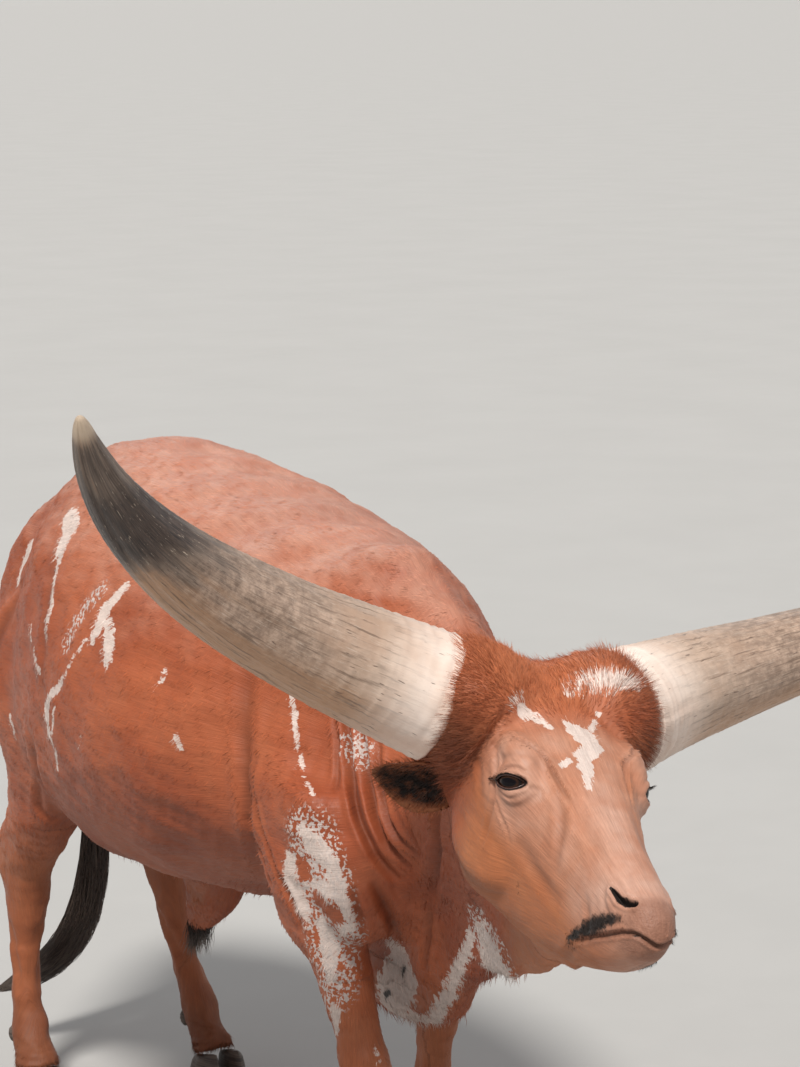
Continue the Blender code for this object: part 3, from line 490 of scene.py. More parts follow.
class Wiring:
    """Adds nodes to a tree and joins them."""

    def __init__(self, tree: NodeTree) -> None:
        """Work on one node tree."""
        self.tree = tree

    def add(self, kind: str, inputs: dict | None = None, **settings: object) -> Node:
        """Add one node.

        Args:
            kind: Its type.
            inputs: Values or sockets for its inputs, by name or number.
            settings: Its other properties.

        Returns:
            The node.
        """
        node = self.tree.nodes.new(kind)
        for key, value in settings.items():
            setattr(node, key, value)
        for key, value in (inputs or {}).items():
            if isinstance(value, bpy.types.NodeSocket):
                self.tree.links.new(value, node.inputs[key])
            else:
                node.inputs[key].default_value = value
        return node

    def times(self, first: object, second: object) -> object:
        """One value times another."""
        return self.add("ShaderNodeMath", {0: first, 1: second}, operation="MULTIPLY").outputs[0]

    def plus(self, first: object, second: object) -> object:
        """One value and another."""
        return self.add("ShaderNodeMath", {0: first, 1: second}, operation="ADD").outputs[0]

    def less(self, first: object, second: object) -> object:
        """One value less another."""
        return self.add("ShaderNodeMath", {0: first, 1: second}, operation="SUBTRACT").outputs[0]

    def step(self, value: object, low: float, high: float, start: float = 0.0, end: float = 1.0) -> object:
        """Smooth step of a value between two limits."""
        inputs = {0: value, 1: low, 2: high, 3: start, 4: end}
        return self.add("ShaderNodeMapRange", inputs, interpolation_type="SMOOTHSTEP").outputs[0]

    def scaled(self, vector: object, scale: Sequence[float]) -> object:
        """A vector times another one."""
        node = self.add("ShaderNodeVectorMath", {0: vector, 1: scale}, operation="MULTIPLY")
        return node.outputs[0]

    def noise(self, vector: object, scale: float, detail: float = 3.0, rough: float = 0.55) -> object:
        """Cloudy noise from 0 to 1."""
        inputs = {"Vector": vector, "Scale": scale, "Detail": detail, "Roughness": rough}
        return self.add("ShaderNodeTexNoise", inputs).outputs[0]

    def drawn(self, vector: object, scale: Sequence[float], detail: float, rough: float = 0.55) -> object:
        """Cloudy noise, drawn out by its own scale along each axis."""
        return self.noise(self.scaled(vector, scale), 1.0, detail, rough)

    def grey(self, value: object) -> object:
        """A value as a grey colour."""
        return self.add("ShaderNodeCombineColor", {0: value, 1: value, 2: value}).outputs[0]

    def mix(self, share: object, first: object, second: object, kind: str = "MIX") -> object:
        """Mix of two colours."""
        inputs = {0: share, 6: first, 7: second}
        node = self.add("ShaderNodeMix", inputs, data_type="RGBA", blend_type=kind)
        return node.outputs[2]

    def attribute(self, name: str) -> list:
        """The four numbers that a mesh keeps at each point."""
        source = self.add("ShaderNodeAttribute", attribute_name=name)
        parts = self.add("ShaderNodeSeparateColor", {0: source.outputs["Color"]})
        return [*parts.outputs, source.outputs["Alpha"]]

    def vector(self, name: str) -> object:
        """The vector that a mesh keeps at each point."""
        return self.add("ShaderNodeAttribute", attribute_name=name).outputs["Vector"]

    def place(self) -> object:
        """Place of the shaded point on its piece."""
        return self.add("ShaderNodeTexCoord").outputs["Object"]


def effect(name: str) -> tuple[NodeTree, Wiring, object]:
    """A shader node group that gives colour, roughness and relief.

    Args:
        name: Name of the group.

    Returns:
        The group, the wiring in it and the socket of its strength.
    """
    group = bpy.data.node_groups.new(name, "ShaderNodeTree")
    amount = group.interface.new_socket("Amount", in_out="INPUT", socket_type="NodeSocketFloat")
    amount.default_value = 1.0
    for title, kind in (("Color", "Color"), ("Roughness", "Float"), ("Relief", "Float")):
        group.interface.new_socket(title, in_out="OUTPUT", socket_type=f"NodeSocket{kind}")
    w = Wiring(group)
    return group, w, w.add("NodeGroupInput").outputs["Amount"]


def coat_colour() -> NodeTree:
    """Colour, roughness and relief of the hair and bare skin, from what skin and tufts keep at each point."""
    group, w, amount = effect("coat_colour")
    white, roan, pale, dark = w.attribute("marks")
    tan, bare, shade, _ = w.attribute("tone")
    chance, along, _, _ = w.attribute("strand")
    lie = w.vector("lie")
    place = w.place()
    broad = w.noise(place, 3.2, 2.0)
    cloud = w.noise(place, 17.0, 3.0)
    fleck = w.noise(place, 190.0, 2.0)
    streak = w.drawn(lie, (420.0, 36.0, 1.0), 3.0)
    lock = w.drawn(lie, (120.0, 14.0, 1.0), 2.0)
    colour = w.mix(w.step(broad, 0.35, 0.65), (0.33, 0.074, 0.027, 1), (0.43, 0.112, 0.044, 1))
    colour = w.mix(w.step(cloud, 0.42, 0.72, 0.0, 0.2), colour, (0.5, 0.165, 0.075, 1))
    colour = w.mix(tan, colour, w.mix(cloud, (0.43, 0.15, 0.055, 1), (0.57, 0.25, 0.11, 1)))
    # The pale mark turns the coat rosy: the face's own pink, and painted sheen on the top of the back.
    rosy = w.mix(cloud, (0.48, 0.24, 0.165, 1), (0.64, 0.4, 0.31, 1))
    colour = w.mix(w.times(pale, w.step(cloud, 0.2, 0.7, 0.55, 1.0)), colour, rosy)
    brown_skin = w.mix(fleck, (0.19, 0.075, 0.045, 1), (0.34, 0.165, 0.11, 1))
    colour = w.mix(w.times(bare, 0.75), colour, brown_skin)
    speck = w.noise(place, 150.0, 2.0, 0.5)
    speckle = w.step(w.plus(speck, w.times(roan, 0.16)), 0.58, 0.66)
    speckle = w.times(speckle, w.step(roan, 0.05, 0.4))
    grey = w.mix(fleck, (0.5, 0.39, 0.35, 1), (0.72, 0.63, 0.59, 1))
    colour = w.mix(speckle, colour, grey)
    rag = w.plus(w.noise(place, 75.0, 3.0), w.times(streak, 0.55))
    rag = w.less(rag, 0.78)
    torn = w.times(w.times(rag, 1.7), w.step(white, 0.0, 0.25))
    patch = w.step(w.plus(white, torn), 0.42, 0.6)
    pitted = w.times(w.step(speck, 0.52, 0.6), w.step(roan, 0.2, 0.8, 0.0, 0.92))
    patch = w.times(patch, w.less(1.0, pitted))
    cream = w.mix(fleck, (0.64, 0.5, 0.44, 1), (0.8, 0.7, 0.64, 1))
    colour = w.mix(w.times(patch, 0.94), colour, cream)
    torn = w.times(w.times(rag, 1.2), w.step(dark, 0.0, 0.3))
    black = w.step(w.plus(dark, torn), 0.28, 0.8)
    colour = w.mix(black, colour, (0.017, 0.01, 0.008, 1))
    grain = w.plus(w.times(streak, 0.42), w.times(lock, 0.3))
    grain = w.plus(grain, w.times(w.less(chance, 0.5), 0.26))
    grain = w.plus(w.plus(grain, w.times(along, 0.12)), 0.62)
    # Painted shade: the shade number darkens the colour in creases, hollows, between the legs, on undersides
    # and down the legs.
    deep = w.less(1.0, w.times(shade, 0.62))
    colour = w.mix(1.0, colour, w.grey(w.times(grain, deep)), "MULTIPLY")
    gloss = w.plus(w.step(streak, 0.3, 0.7, 0.46, 0.6), w.times(shade, 0.1))
    relief = w.plus(w.times(streak, 0.55), w.times(lock, 0.6))
    skin_relief = w.times(w.noise(place, 340.0, 2.0), w.times(bare, 0.8))
    hair_relief = w.times(relief, w.less(1.0, w.times(bare, 0.85)))
    relief = w.times(w.plus(hair_relief, skin_relief), amount)
    w.add("NodeGroupOutput", {"Color": colour, "Roughness": gloss, "Relief": relief})
    return group


def horn_colour() -> NodeTree:
    """Colour, roughness and relief of horn, from its length, underside and growth."""
    group, w, amount = effect("horn_colour")
    share, under, dark, tip = w.attribute("growth")
    lie = w.vector("lie")
    place = w.place()
    streak = w.drawn(lie, (130.0, 9.0, 1.0), 4.0, 0.65)
    fine = w.drawn(lie, (620.0, 26.0, 1.0), 3.0)
    cloud = w.noise(place, 9.0, 4.0, 0.6)
    crackle = w.noise(place, 60.0, 4.0, 0.7)
    chip = w.drawn(lie, (230.0, 42.0, 1.0), 2.0)
    cream = w.mix(w.step(cloud, 0.35, 0.65), (0.42, 0.28, 0.2, 1), (0.6, 0.45, 0.35, 1))
    crackle = w.plus(w.times(crackle, 0.5), w.times(streak, 0.5))
    slate = w.mix(w.step(crackle, 0.36, 0.66), (0.17, 0.112, 0.08, 1), (0.52, 0.37, 0.28, 1))
    aged = w.plus(share, w.times(w.less(cloud, 0.5), 0.55))
    base = w.mix(w.step(aged, 0.04, 0.46), cream, slate)
    ochre = w.mix(streak, (0.34, 0.17, 0.08, 1), (0.62, 0.36, 0.21, 1))
    lower = w.plus(under, w.times(w.less(cloud, 0.5), 0.6))
    base = w.mix(w.times(w.step(lower, 0.1, 0.75), 0.85), base, ochre)
    base = w.mix(w.step(streak, 0.5, 0.66, 0.0, 0.75), base, (0.12, 0.075, 0.05, 1))
    base = w.mix(w.step(fine, 0.56, 0.74, 0.0, 0.45), base, (0.66, 0.57, 0.48, 1))
    root = w.mix(w.step(cloud, 0.3, 0.7), (0.72, 0.54, 0.44, 1), (0.84, 0.72, 0.64, 1))
    base = w.mix(w.step(share, 0.2, 0.02), base, root)
    shred = w.drawn(lie, (52.0, 11.0, 1.0), 4.0)
    shred = w.plus(w.times(shred, 0.6), w.times(cloud, 0.4))
    ragged = w.plus(dark, w.times(w.less(shred, 0.5), 1.5))
    burnt = w.mix(w.step(fine, 0.35, 0.7), (0.02, 0.013, 0.011, 1), (0.1, 0.066, 0.05, 1))
    smoke = w.mix(w.step(streak, 0.35, 0.65), (0.06, 0.042, 0.033, 1), (0.23, 0.17, 0.13, 1))
    base = w.mix(w.step(ragged, 0.05, 0.6, 0.0, 0.92), base, smoke)
    base = w.mix(w.step(ragged, 0.45, 0.95), base, burnt)
    fleck = w.times(w.step(chip, 0.64, 0.7), w.step(dark, 0.1, 0.6, 0.15, 0.9))
    base = w.mix(fleck, base, (0.52, 0.42, 0.33, 1))
    nick = w.times(w.step(w.drawn(lie, (210.0, 34.0, 1.0), 1.0), 0.69, 0.76), 0.7)
    base = w.mix(nick, base, (0.1, 0.06, 0.042, 1))
    base = w.mix(w.step(tip, 0.1, 0.9), base, (0.54, 0.42, 0.31, 1))
    rough = w.step(w.plus(streak, w.times(fleck, 0.5)), 0.3, 0.8, 0.3, 0.62)
    relief = w.plus(w.times(streak, 0.8), w.times(fine, 0.25))
    relief = w.less(relief, w.times(w.plus(fleck, nick), 0.6))
    w.add("NodeGroupOutput", {"Color": base, "Roughness": rough, "Relief": w.times(relief, amount)})
    return group


@dataclass(frozen=True)
class Finish:
    """A Principled material: constants on its own sockets, what varies joined to it.

    Attributes:
        name: Name of the material.
        sockets: Values for the shader's sockets.
        bump: Depth of its relief.
    """

    name: str
    sockets: tuple[tuple[str, object], ...] = ()
    bump: float = 0.001

    def start(self) -> tuple[Material, Wiring, Node]:
        """The bare material, its wiring and its shader."""
        material = bpy.data.materials.new(self.name)
        material.use_nodes = True
        tree = material.node_tree
        shader = tree.nodes["Principled BSDF"]
        for key, value in self.sockets:
            shader.inputs[key].default_value = value
        return material, Wiring(tree), shader

    def join(self, w: Wiring, shader: Node, colour: object, rough: object, relief: object) -> None:
        """Join colour, roughness and relief to the shader."""
        bump = w.add("ShaderNodeBump", {"Strength": 1.0, "Distance": self.bump, "Height": relief})
        for key, value in (("Base Color", colour), ("Roughness", rough), ("Normal", bump.outputs[0])):
            w.tree.links.new(value, shader.inputs[key])

    def grouped(self, group: NodeTree, amount: float = 1.0) -> Material:
        """The material with its looks from a shared group."""
        material, w, shader = self.start()
        node = w.add("ShaderNodeGroup", node_tree=group)
        node.inputs["Amount"].default_value = amount
        self.join(w, shader, *(node.outputs[key] for key in ("Color", "Roughness", "Relief")))
        return material

    def mottled(self, low: Sequence[float], high: Sequence[float], scale: float,
                rough: tuple[float, float]) -> Material:
        """The material with two colours mixed by noise."""
        material, w, shader = self.start()
        place = w.place()
        cloud = w.noise(place, scale, 4.0)
        fine = w.noise(place, scale * 6.0, 2.0)
        both = w.plus(w.times(cloud, 0.6), w.times(fine, 0.4))
        colour = w.mix(w.step(both, 0.35, 0.65), (*low, 1), (*high, 1))
        self.join(w, shader, colour, w.step(fine, 0.3, 0.7, *rough), both)
        return material

    def stranded(self, root: Sequence[float], tip: Sequence[float], rough: tuple[float, float]) -> Material:
        """The material of long hair, from root to tip, each strand a little lighter or darker."""
        material, w, shader = self.start()
        chance, along, _, _ = w.attribute("strand")
        fine = w.drawn(w.place(), (900.0, 900.0, 60.0), 2.0)
        colour = w.mix(w.step(along, 0.35, 1.0), (*root, 1), (*tip, 1))
        vary = w.plus(w.times(chance, 0.9), w.plus(w.times(fine, 0.4), 0.35))
        colour = w.mix(1.0, colour, w.grey(vary), "MULTIPLY")
        self.join(w, shader, colour, w.step(fine, 0.3, 0.7, *rough), fine)
        return material


HAIR_GLOSS = (("Specular IOR Level", 0.32), ("Sheen Weight", 0.04), ("Sheen Roughness", 0.45))
COAT_SKIN = Finish("coat_skin", HAIR_GLOSS, 0.0016)
COAT_TUFT = Finish("coat_tuft", HAIR_GLOSS, 0.0003)
HORN_GLOSS = (("Specular IOR Level", 0.45), ("Coat Weight", 0.12), ("Coat Roughness", 0.3))
WET_GLOSS = (("Coat Weight", 0.22), ("Coat Roughness", 0.02), ("Specular IOR Level", 0.08))
HORN_SHEATH = Finish("horn_sheath", HORN_GLOSS, 0.0012)
EYE_WET = Finish("eye_wet", WET_GLOSS, 0.00005)
LID_SKIN = Finish("lid_skin", (("Coat Weight", 0.25), ("Coat Roughness", 0.25)), 0.0002)
HOOF_WALL = Finish("hoof_wall", (("Specular IOR Level", 0.4),), 0.0008)
SWITCH_HAIR = Finish("switch_hair", (("Specular IOR Level", 0.4), ("Sheen Weight", 0.1)), 0.0002)
LASH_HAIR = Finish("lash_hair", (("Specular IOR Level", 0.15),), 0.0001)


def eye_finish() -> Material:
    """Dark iris with a level pupil, a darker ring and a brown rim at the corners, all under a wet coat."""
    material, w, shader = EYE_WET.start()
    around, level, _, _ = w.attribute("gaze")
    cloud = w.noise(w.place(), 380.0, 3.0)
    iris = w.mix(cloud, (0.02, 0.009, 0.005, 1), (0.06, 0.024, 0.012, 1))
    colour = w.mix(w.step(level, 0.3, 0.42), (0.003, 0.002, 0.003, 1), iris)
    colour = w.mix(w.step(around, 0.52, 0.66), colour, (0.01, 0.006, 0.005, 1))
    colour = w.mix(w.step(around, 0.74, 0.88), colour, (0.09, 0.045, 0.035, 1))
    EYE_WET.join(w, shader, colour, w.step(around, 0.6, 0.9, 0.08, 0.22), cloud)
    return material


def hoof_finish() -> Material:
    """Dark slate horn with growth rings and paler scuffs near the ground."""
    material, w, shader = HOOF_WALL.start()
    place = w.place()
    height = w.add("ShaderNodeSeparateXYZ", {0: place}).outputs[2]
    ring = w.drawn(place, (9.0, 9.0, 420.0), 2.0)
    grain = w.drawn(place, (500.0, 500.0, 40.0), 3.0)
    colour = w.mix(w.step(ring, 0.35, 0.65), (0.05, 0.036, 0.03, 1), (0.12, 0.09, 0.072, 1))
    scuff = w.times(w.step(height, 0.022, 0.0), w.step(grain, 0.4, 0.6, 0.25, 0.85))
    colour = w.mix(scuff, colour, (0.29, 0.225, 0.17, 1))
    relief = w.plus(w.times(ring, 0.7), w.times(grain, 0.3))
    HOOF_WALL.join(w, shader, colour, w.step(grain, 0.3, 0.7, 0.42, 0.66), relief)
    return material


@dataclass
class Palette:
    """Every material of the animal, made once."""

    coat_skin: Material = None
    coat_tuft: Material = None
    horn: Material = None
    eye: Material = None
    lid: Material = None
    hoof: Material = None
    switch: Material = None
    lash: Material = None

    def mix_paints(self) -> None:
        """Make the materials."""
        coat = coat_colour()
        self.coat_skin = COAT_SKIN.grouped(coat, 1.0)
        self.coat_tuft = COAT_TUFT.grouped(coat, 0.5)
        self.horn = HORN_SHEATH.grouped(horn_colour())
        self.eye = eye_finish()
        self.lid = LID_SKIN.mottled((0.045, 0.02, 0.016), (0.13, 0.06, 0.048), 240.0, (0.22, 0.4))
        self.hoof = hoof_finish()
        self.switch = SWITCH_HAIR.stranded((0.03, 0.017, 0.012), (0.15, 0.11, 0.085), (0.42, 0.62))
        self.lash = LASH_HAIR.stranded((0.012, 0.008, 0.006), (0.022, 0.013, 0.01), (0.4, 0.6))


# Markings


class Mark(Enum):
    """Which of the numbers kept at a point a marking writes."""

    WHITE = 0
    ROAN = 1
    PALE = 2
    DARK = 3
    RED = 4


@dataclass(frozen=True)
class Blotch:
    """A marking along a path of the animal's frame.

    Attributes:
        mark: Its kind.
        path: Its middle line.
        width: Half its width at each point of the path.
        soft: Distance over which it fades.
        both: Whether it is on both sides of the animal.
    """

    mark: Mark
    path: Array
    width: Array
    soft: float
    both: bool = False

    def strength(self, points: Array) -> Array:
        """How strongly it colours each point, from 0 to 1."""
        found = np.zeros(len(points))
        for flip in ((1, -1) if self.both else (1,)):
            line = self.path * (flip, 1, 1)
            near = beside(points, line, self.width.max() + 2 * self.soft)
            away, share = path_field(points[near], line)
            half = np.interp(share, np.linspace(0, 1, len(line)), self.width)
            found[near] = np.maximum(found[near], np.clip(0.5 + 0.5 * (half - away) / self.soft, 0, 1))
        return found


def blotches(mark: Mark, soft: float, both: bool, *courses: Sequence) -> list[Blotch]:
    """Markings of one kind, each from rows of its middle line and half width, all in millimetres."""
    lines = [np.array(rows, float) / 1000 for rows in courses]
    return [Blotch(mark, line[:, :3], line[:, 3], soft / 1000, both) for line in lines]


BLOTCHES = [
    *blotches(Mark.WHITE, 8, False,
        ((-256, 430, 1280, 22), (-272, 385, 1257, 26), (-300, 372, 1222, 18)),
        ((-300, 366, 1222, 16), (-322, 348, 1180, 9), (-346, 313, 1131, 8), (-360, 312, 1078, 16)),
        ((-223, 702, 1165, 26), (-228, 712, 1136, 20), (-236, 723, 1100, 8)),
        ((-307, 71, 1199, 10), (-338, 97, 1155, 17), (-362, 100, 1104, 12)),
        ((-345, 70, 1135, 12), (-359, 38, 1104, 18), (-367, 26, 1078, 13)),
        ((-366, 126, 1098, 3), (-384, 185, 1015, 5), (-382, 240, 977, 10), (-378, 285, 940, 17)),
        ((-378, 285, 940, 17), (-377, 275, 895, 9), (-377, 250, 869, 8), (-367, 263, 828, 4)),
        ((-385, 222, 955, 5), (-380, 250, 902, 6)),
        ((-334, -127, 1082, 9), (-336, -128, 1070, 9)),
        ((-338, -190, 974, 8), (-339, -204, 960, 8)),
        ((-392, 102, 922, 4), (-392, 106, 910, 4)),
        ((-262, -311, 1038, 3), (-262, -312, 1024, 3)),
        ((-345, 429, 1075, 5), (-353, 403, 1050, 5)),
        ((-361, 372, 1036, 6), (-370, 326, 1003, 6)),
        ((-301, 640, 848, 7), (-297, 631, 808, 7)),
        ((-258, -515, 900, 3), (-262, -520, 872, 12), (-250, -545, 846, 22)),
        ((-255, -530, 846, 16), (-242, -570, 822, 20), (-240, -582, 800, 16)),
        ((-242, -580, 800, 20), (-230, -594, 752, 14), (-222, -592, 715, 11), (-222, -560, 690, 12)),
        ((-268, -478, 815, 14), (-268, -474, 775, 21), (-258, -480, 735, 20), (-246, -490, 700, 10)),
        ((-262, -500, 770, 12), (-248, -535, 778, 10), (-242, -572, 775, 16)),
        ((-240, -520, 690, 26), (-226, -524, 650, 24), (-218, -516, 605, 10)),
        ((-209, -523, 550, 12), (-205, -514, 508, 8)),
        ((-163, -571, 493, 4), (-160, -580, 468, 4)),
        ((-248, -463, 681, 4), (-231, -479, 621, 4)),
        ((330, 360, 1150, 10), (352, 300, 1110, 20), (372, 250, 1040, 12)),
        ((300, 560, 1160, 20), (325, 560, 1110, 12), (335, 520, 1060, 5)),
        ((388, 120, 930, 12), (386, 80, 880, 5)),
        ((250, -330, 1060, 6), (262, -350, 960, 4)),
        ((370, -20, 760, 6), (366, -30, 748, 6))),
    *blotches(Mark.ROAN, 18, False,
        ((-325, 142, 1184, 12), (-341, 170, 1153, 12), (-367, 205, 1080, 12))),
    *blotches(Mark.WHITE, 6, False,
        ((-214, -383, 1074, 7), (-216, -401, 1040, 6), (-221, -419, 1001, 4), (-228, -445, 964, 4),
         (-250, -527, 930, 3))),
    *blotches(Mark.ROAN, 20, False,
        ((-172, -524, 1012, 20), (-168, -550, 995, 20))),
    *blotches(Mark.RED, 5, False,
        ((-258, -503, 808, 14), (-257, -506, 792, 14)),
        ((-236, -500, 688, 6), (-232, -500, 668, 6))),
    *blotches(Mark.RED, 6, False,
        ((-244, -530, 748, 21), (-234, -562, 733, 21))),
    *blotches(Mark.ROAN, 30, False,
        ((-256, -530, 862, 40), (-250, -540, 800, 60), (-236, -545, 700, 55), (-216, -518, 590, 30)),
        ((262, -450, 840, 60), (250, -430, 740, 60), (225, -390, 640, 60))),
    *blotches(Mark.WHITE, 20, False,
        ((-82, -510, 630, 34), (-78, -520, 590, 48), (-67, -470, 540, 45), (-50, -440, 510, 40))),
    *blotches(Mark.WHITE, 12, False,
        ((-138, -846, 752, 14), (-129, -825, 720, 12), (-98, -723, 637, 16), (-67, -622, 552, 16),
         (-53, -565, 505, 22), (-40, -480, 500, 20))),
    *blotches(Mark.ROAN, 24, False,
        ((-140, -900, 770, 42), (-152, -950, 745, 42), (-138, -930, 700, 42))),
    *blotches(Mark.WHITE, 18, False,
        ((-145, -905, 755, 38), (-150, -945, 735, 38), (-140, -895, 710, 38))),
    *blotches(Mark.DARK, 6, False,
        ((-79, -524, 606, 6), (-76, -515, 590, 6)),
        ((-66, -455, 540, 7), (-64, -440, 528, 7))),
    *blotches(Mark.WHITE, 14, False,
        ((262, -450, 840, 12), (255, -430, 760, 20), (235, -400, 680, 12))),
]
HEAD_BLOTCHES = [
    *blotches(Mark.WHITE, 7, False,
        ((-4, 150, 4, 12), (14, 172, 0, 22), (20, 196, -4, 18), (-6, 226, -8, 16), (-14, 262, -14, 11),
         (-19, 290, -20, 4))),
    *blotches(Mark.WHITE, 5, False,
        ((66, 100, 4, 3), (36, 150, 2, 6))),
    *blotches(Mark.WHITE, 6, False,
        ((-30, 232, -10, 6), (-44, 240, -14, 6))),
    *blotches(Mark.WHITE, 8, False,
        ((-82, 116, 10, 6), (-67, 116, 4, 14), (-56, 127, 1, 13), (-38, 155, 2, 4))),
    *blotches(Mark.WHITE, 9, False,
        ((20, 75, 18, 6), (55, 71, 30, 11), (94, 80, 42, 15), (118, 81, 42, 8))),
    *blotches(Mark.DARK, 4, False,
        ((-82, 296, -190, 1.5), (-83, 300, -194, 1.5))),
    *blotches(Mark.PALE, 30, True,
        ((92, 200, -50, 48), (90, 245, -78, 48))),
    *blotches(Mark.PALE, 45, False,
        ((0, 300, -25, 40), (0, 420, -40, 50), (0, 520, -70, 80))),
    *blotches(Mark.PALE, 35, True,
        ((35, 440, -100, 55), (40, 500, -90, 55))),
    *blotches(Mark.PALE, 60, True,
        ((70, 270, -80, 30), (55, 360, -90, 30)),
        ((50, 180, 0, 20), (30, 260, -20, 20))),
    *blotches(Mark.PALE, 20, False,
        ((0, 560, -130, 30), (0, 520, -165, 30))),
    *blotches(Mark.DARK, 9, False,
        ((-50, 430, -196, 6), (-55, 446, -176, 10), (-54, 470, -150, 11), (-52, 500, -116, 12),
         (-47, 530, -92, 7)),
        ((30, 560, -88, 6), (44, 536, -108, 12), (50, 505, -130, 10))),
    *blotches(Mark.DARK, 10, False,
        ((20, 540, -150, 12), (34, 500, -172, 12))),
    *blotches(Mark.DARK, 5, True,
        ((44, 512, -72, 5), (36, 530, -64, 5))),
]


# Folds of the right side: width, depth and course, in millimetres
FOLDS = (
    (7.5, 12.5, (-160, -470, 1090), (-168, -490, 1052), (-185, -546, 954), (-200, -601, 894),
     (-184, -632, 836), (-155, -655, 800)),
    (7, 11.5, (-160, -525, 1040), (-171, -575, 971), (-177, -609, 917), (-171, -656, 855),
     (-158, -690, 828)),
    (6.5, 10, (-150, -570, 1030), (-168, -619, 933), (-171, -674, 883), (-172, -738, 862)),
    (6, 8.5, (-150, -630, 1010), (-164, -664, 961), (-181, -720, 918), (-172, -760, 865)),
    (6, 6, (-177, -470, 1060), (-185, -494, 1003), (-193, -511, 964), (-205, -540, 910)),
    (15, 8.5, (-240, -290, 1140), (-269, -311, 1003), (-274, -323, 936), (-273, -329, 866),
     (-245, -307, 785), (-180, -220, 700)),
    (7.5, 7, (-257, -344, 982), (-266, -352, 905), (-269, -378, 841), (-273, -419, 794), (-261, -460, 735),
     (-248, -465, 670)),
    (7, 5.5, (-250, -300, 860), (-262, -350, 800), (-256, -400, 740)),
    (14, 12, (-196, -815, 994), (-199, -844, 951), (-188, -827, 896), (-162, -767, 828), (-136, -684, 771)),
    (8, 7, (-223, -609, 790), (-215, -609, 750), (-208, -608, 729), (-183, -590, 670)),
    (9, 8, (-197, -631, 802), (-173, -632, 755), (-124, -579, 691), (-86, -543, 640)),
    (8, 5.5, (-130, -700, 780), (-110, -660, 700), (-80, -610, 620)),
    (12, 8, (-250, -300, 690), (-235, -360, 640), (-200, -380, 600)),
    (20, 11, (-330, 420, 860), (-300, 470, 760), (-250, 500, 680)),
    (16, 4, (-307, 393, 1201), (-340, 351, 1134), (-367, 315, 1047), (-376, 312, 953)),
    (10, 6, (-269, 578, 740), (-255, 619, 677), (-239, 633, 642), (-208, 616, 630)),
    (22, 7, (-285, 640, 1150), (-300, 700, 1000), (-270, 760, 860), (-235, 780, 740)),
)
# Folds over the lids: width, depth, and places along and up from the middle of the eye, in millimetres
LID_FOLDS = (
    (2.8, 2.4, (-34, 4), (-20, 19), (0, 23.5), (20, 19), (33, 6)),
    (4.5, 1.4, (-44, 12), (-26, 31), (2, 37), (30, 29)),
    (3, 1.6, (-32, -8), (-14, -20), (8, -21.5), (27, -13)),
    (4.5, 1.2, (-40, -18), (-16, -31), (12, -32)),
    (3.5, 1.8, (-26, -4), (-40, -12), (-56, -26)),
)
# Creases of the left half of the head: width, depth and course as x, reach and height, in millimetres
CREASES = (
    (3.8, 5.8, (104, 160, -20), (100, 178, -11), (86, 200, -9), (66, 220, -17), (60, 253, -25),
     (56, 284, -31), (53, 313, -39)),
    (3, 2.6, (121, 196, -92), (117, 220, -105), (111, 236, -117), (104, 253, -130), (98, 266, -150)),
    (8, 3.4, (60, 282, -34), (65, 320, -54), (70, 346, -81), (70, 364, -125)),
    (4.2, 3.6, (115, 140, -40), (116, 173, -55), (120, 204, -88), (118, 212, -128), (112, 215, -180)),
    (12, 3, (88, 265, -130), (76, 330, -150), (62, 400, -160)),
    (16, 4, (100, 120, -235), (98, 200, -250), (80, 280, -235)),
    (7, 2.2, (60, 440, -110), (56, 470, -140), (56, 470, -175)),
    (5, 2, (50, 470, -80), (53, 492, -98), (50, 520, -102)),
    (8, 2.6, (118, 120, -70), (112, 150, -90), (108, 180, -120)),
    (10, 2, (50, 300, -30), (46, 380, -45), (40, 440, -55)),
    (8, 2.5, (52, 450, -205), (40, 420, -235), (20, 400, -245)),
)


# Skin


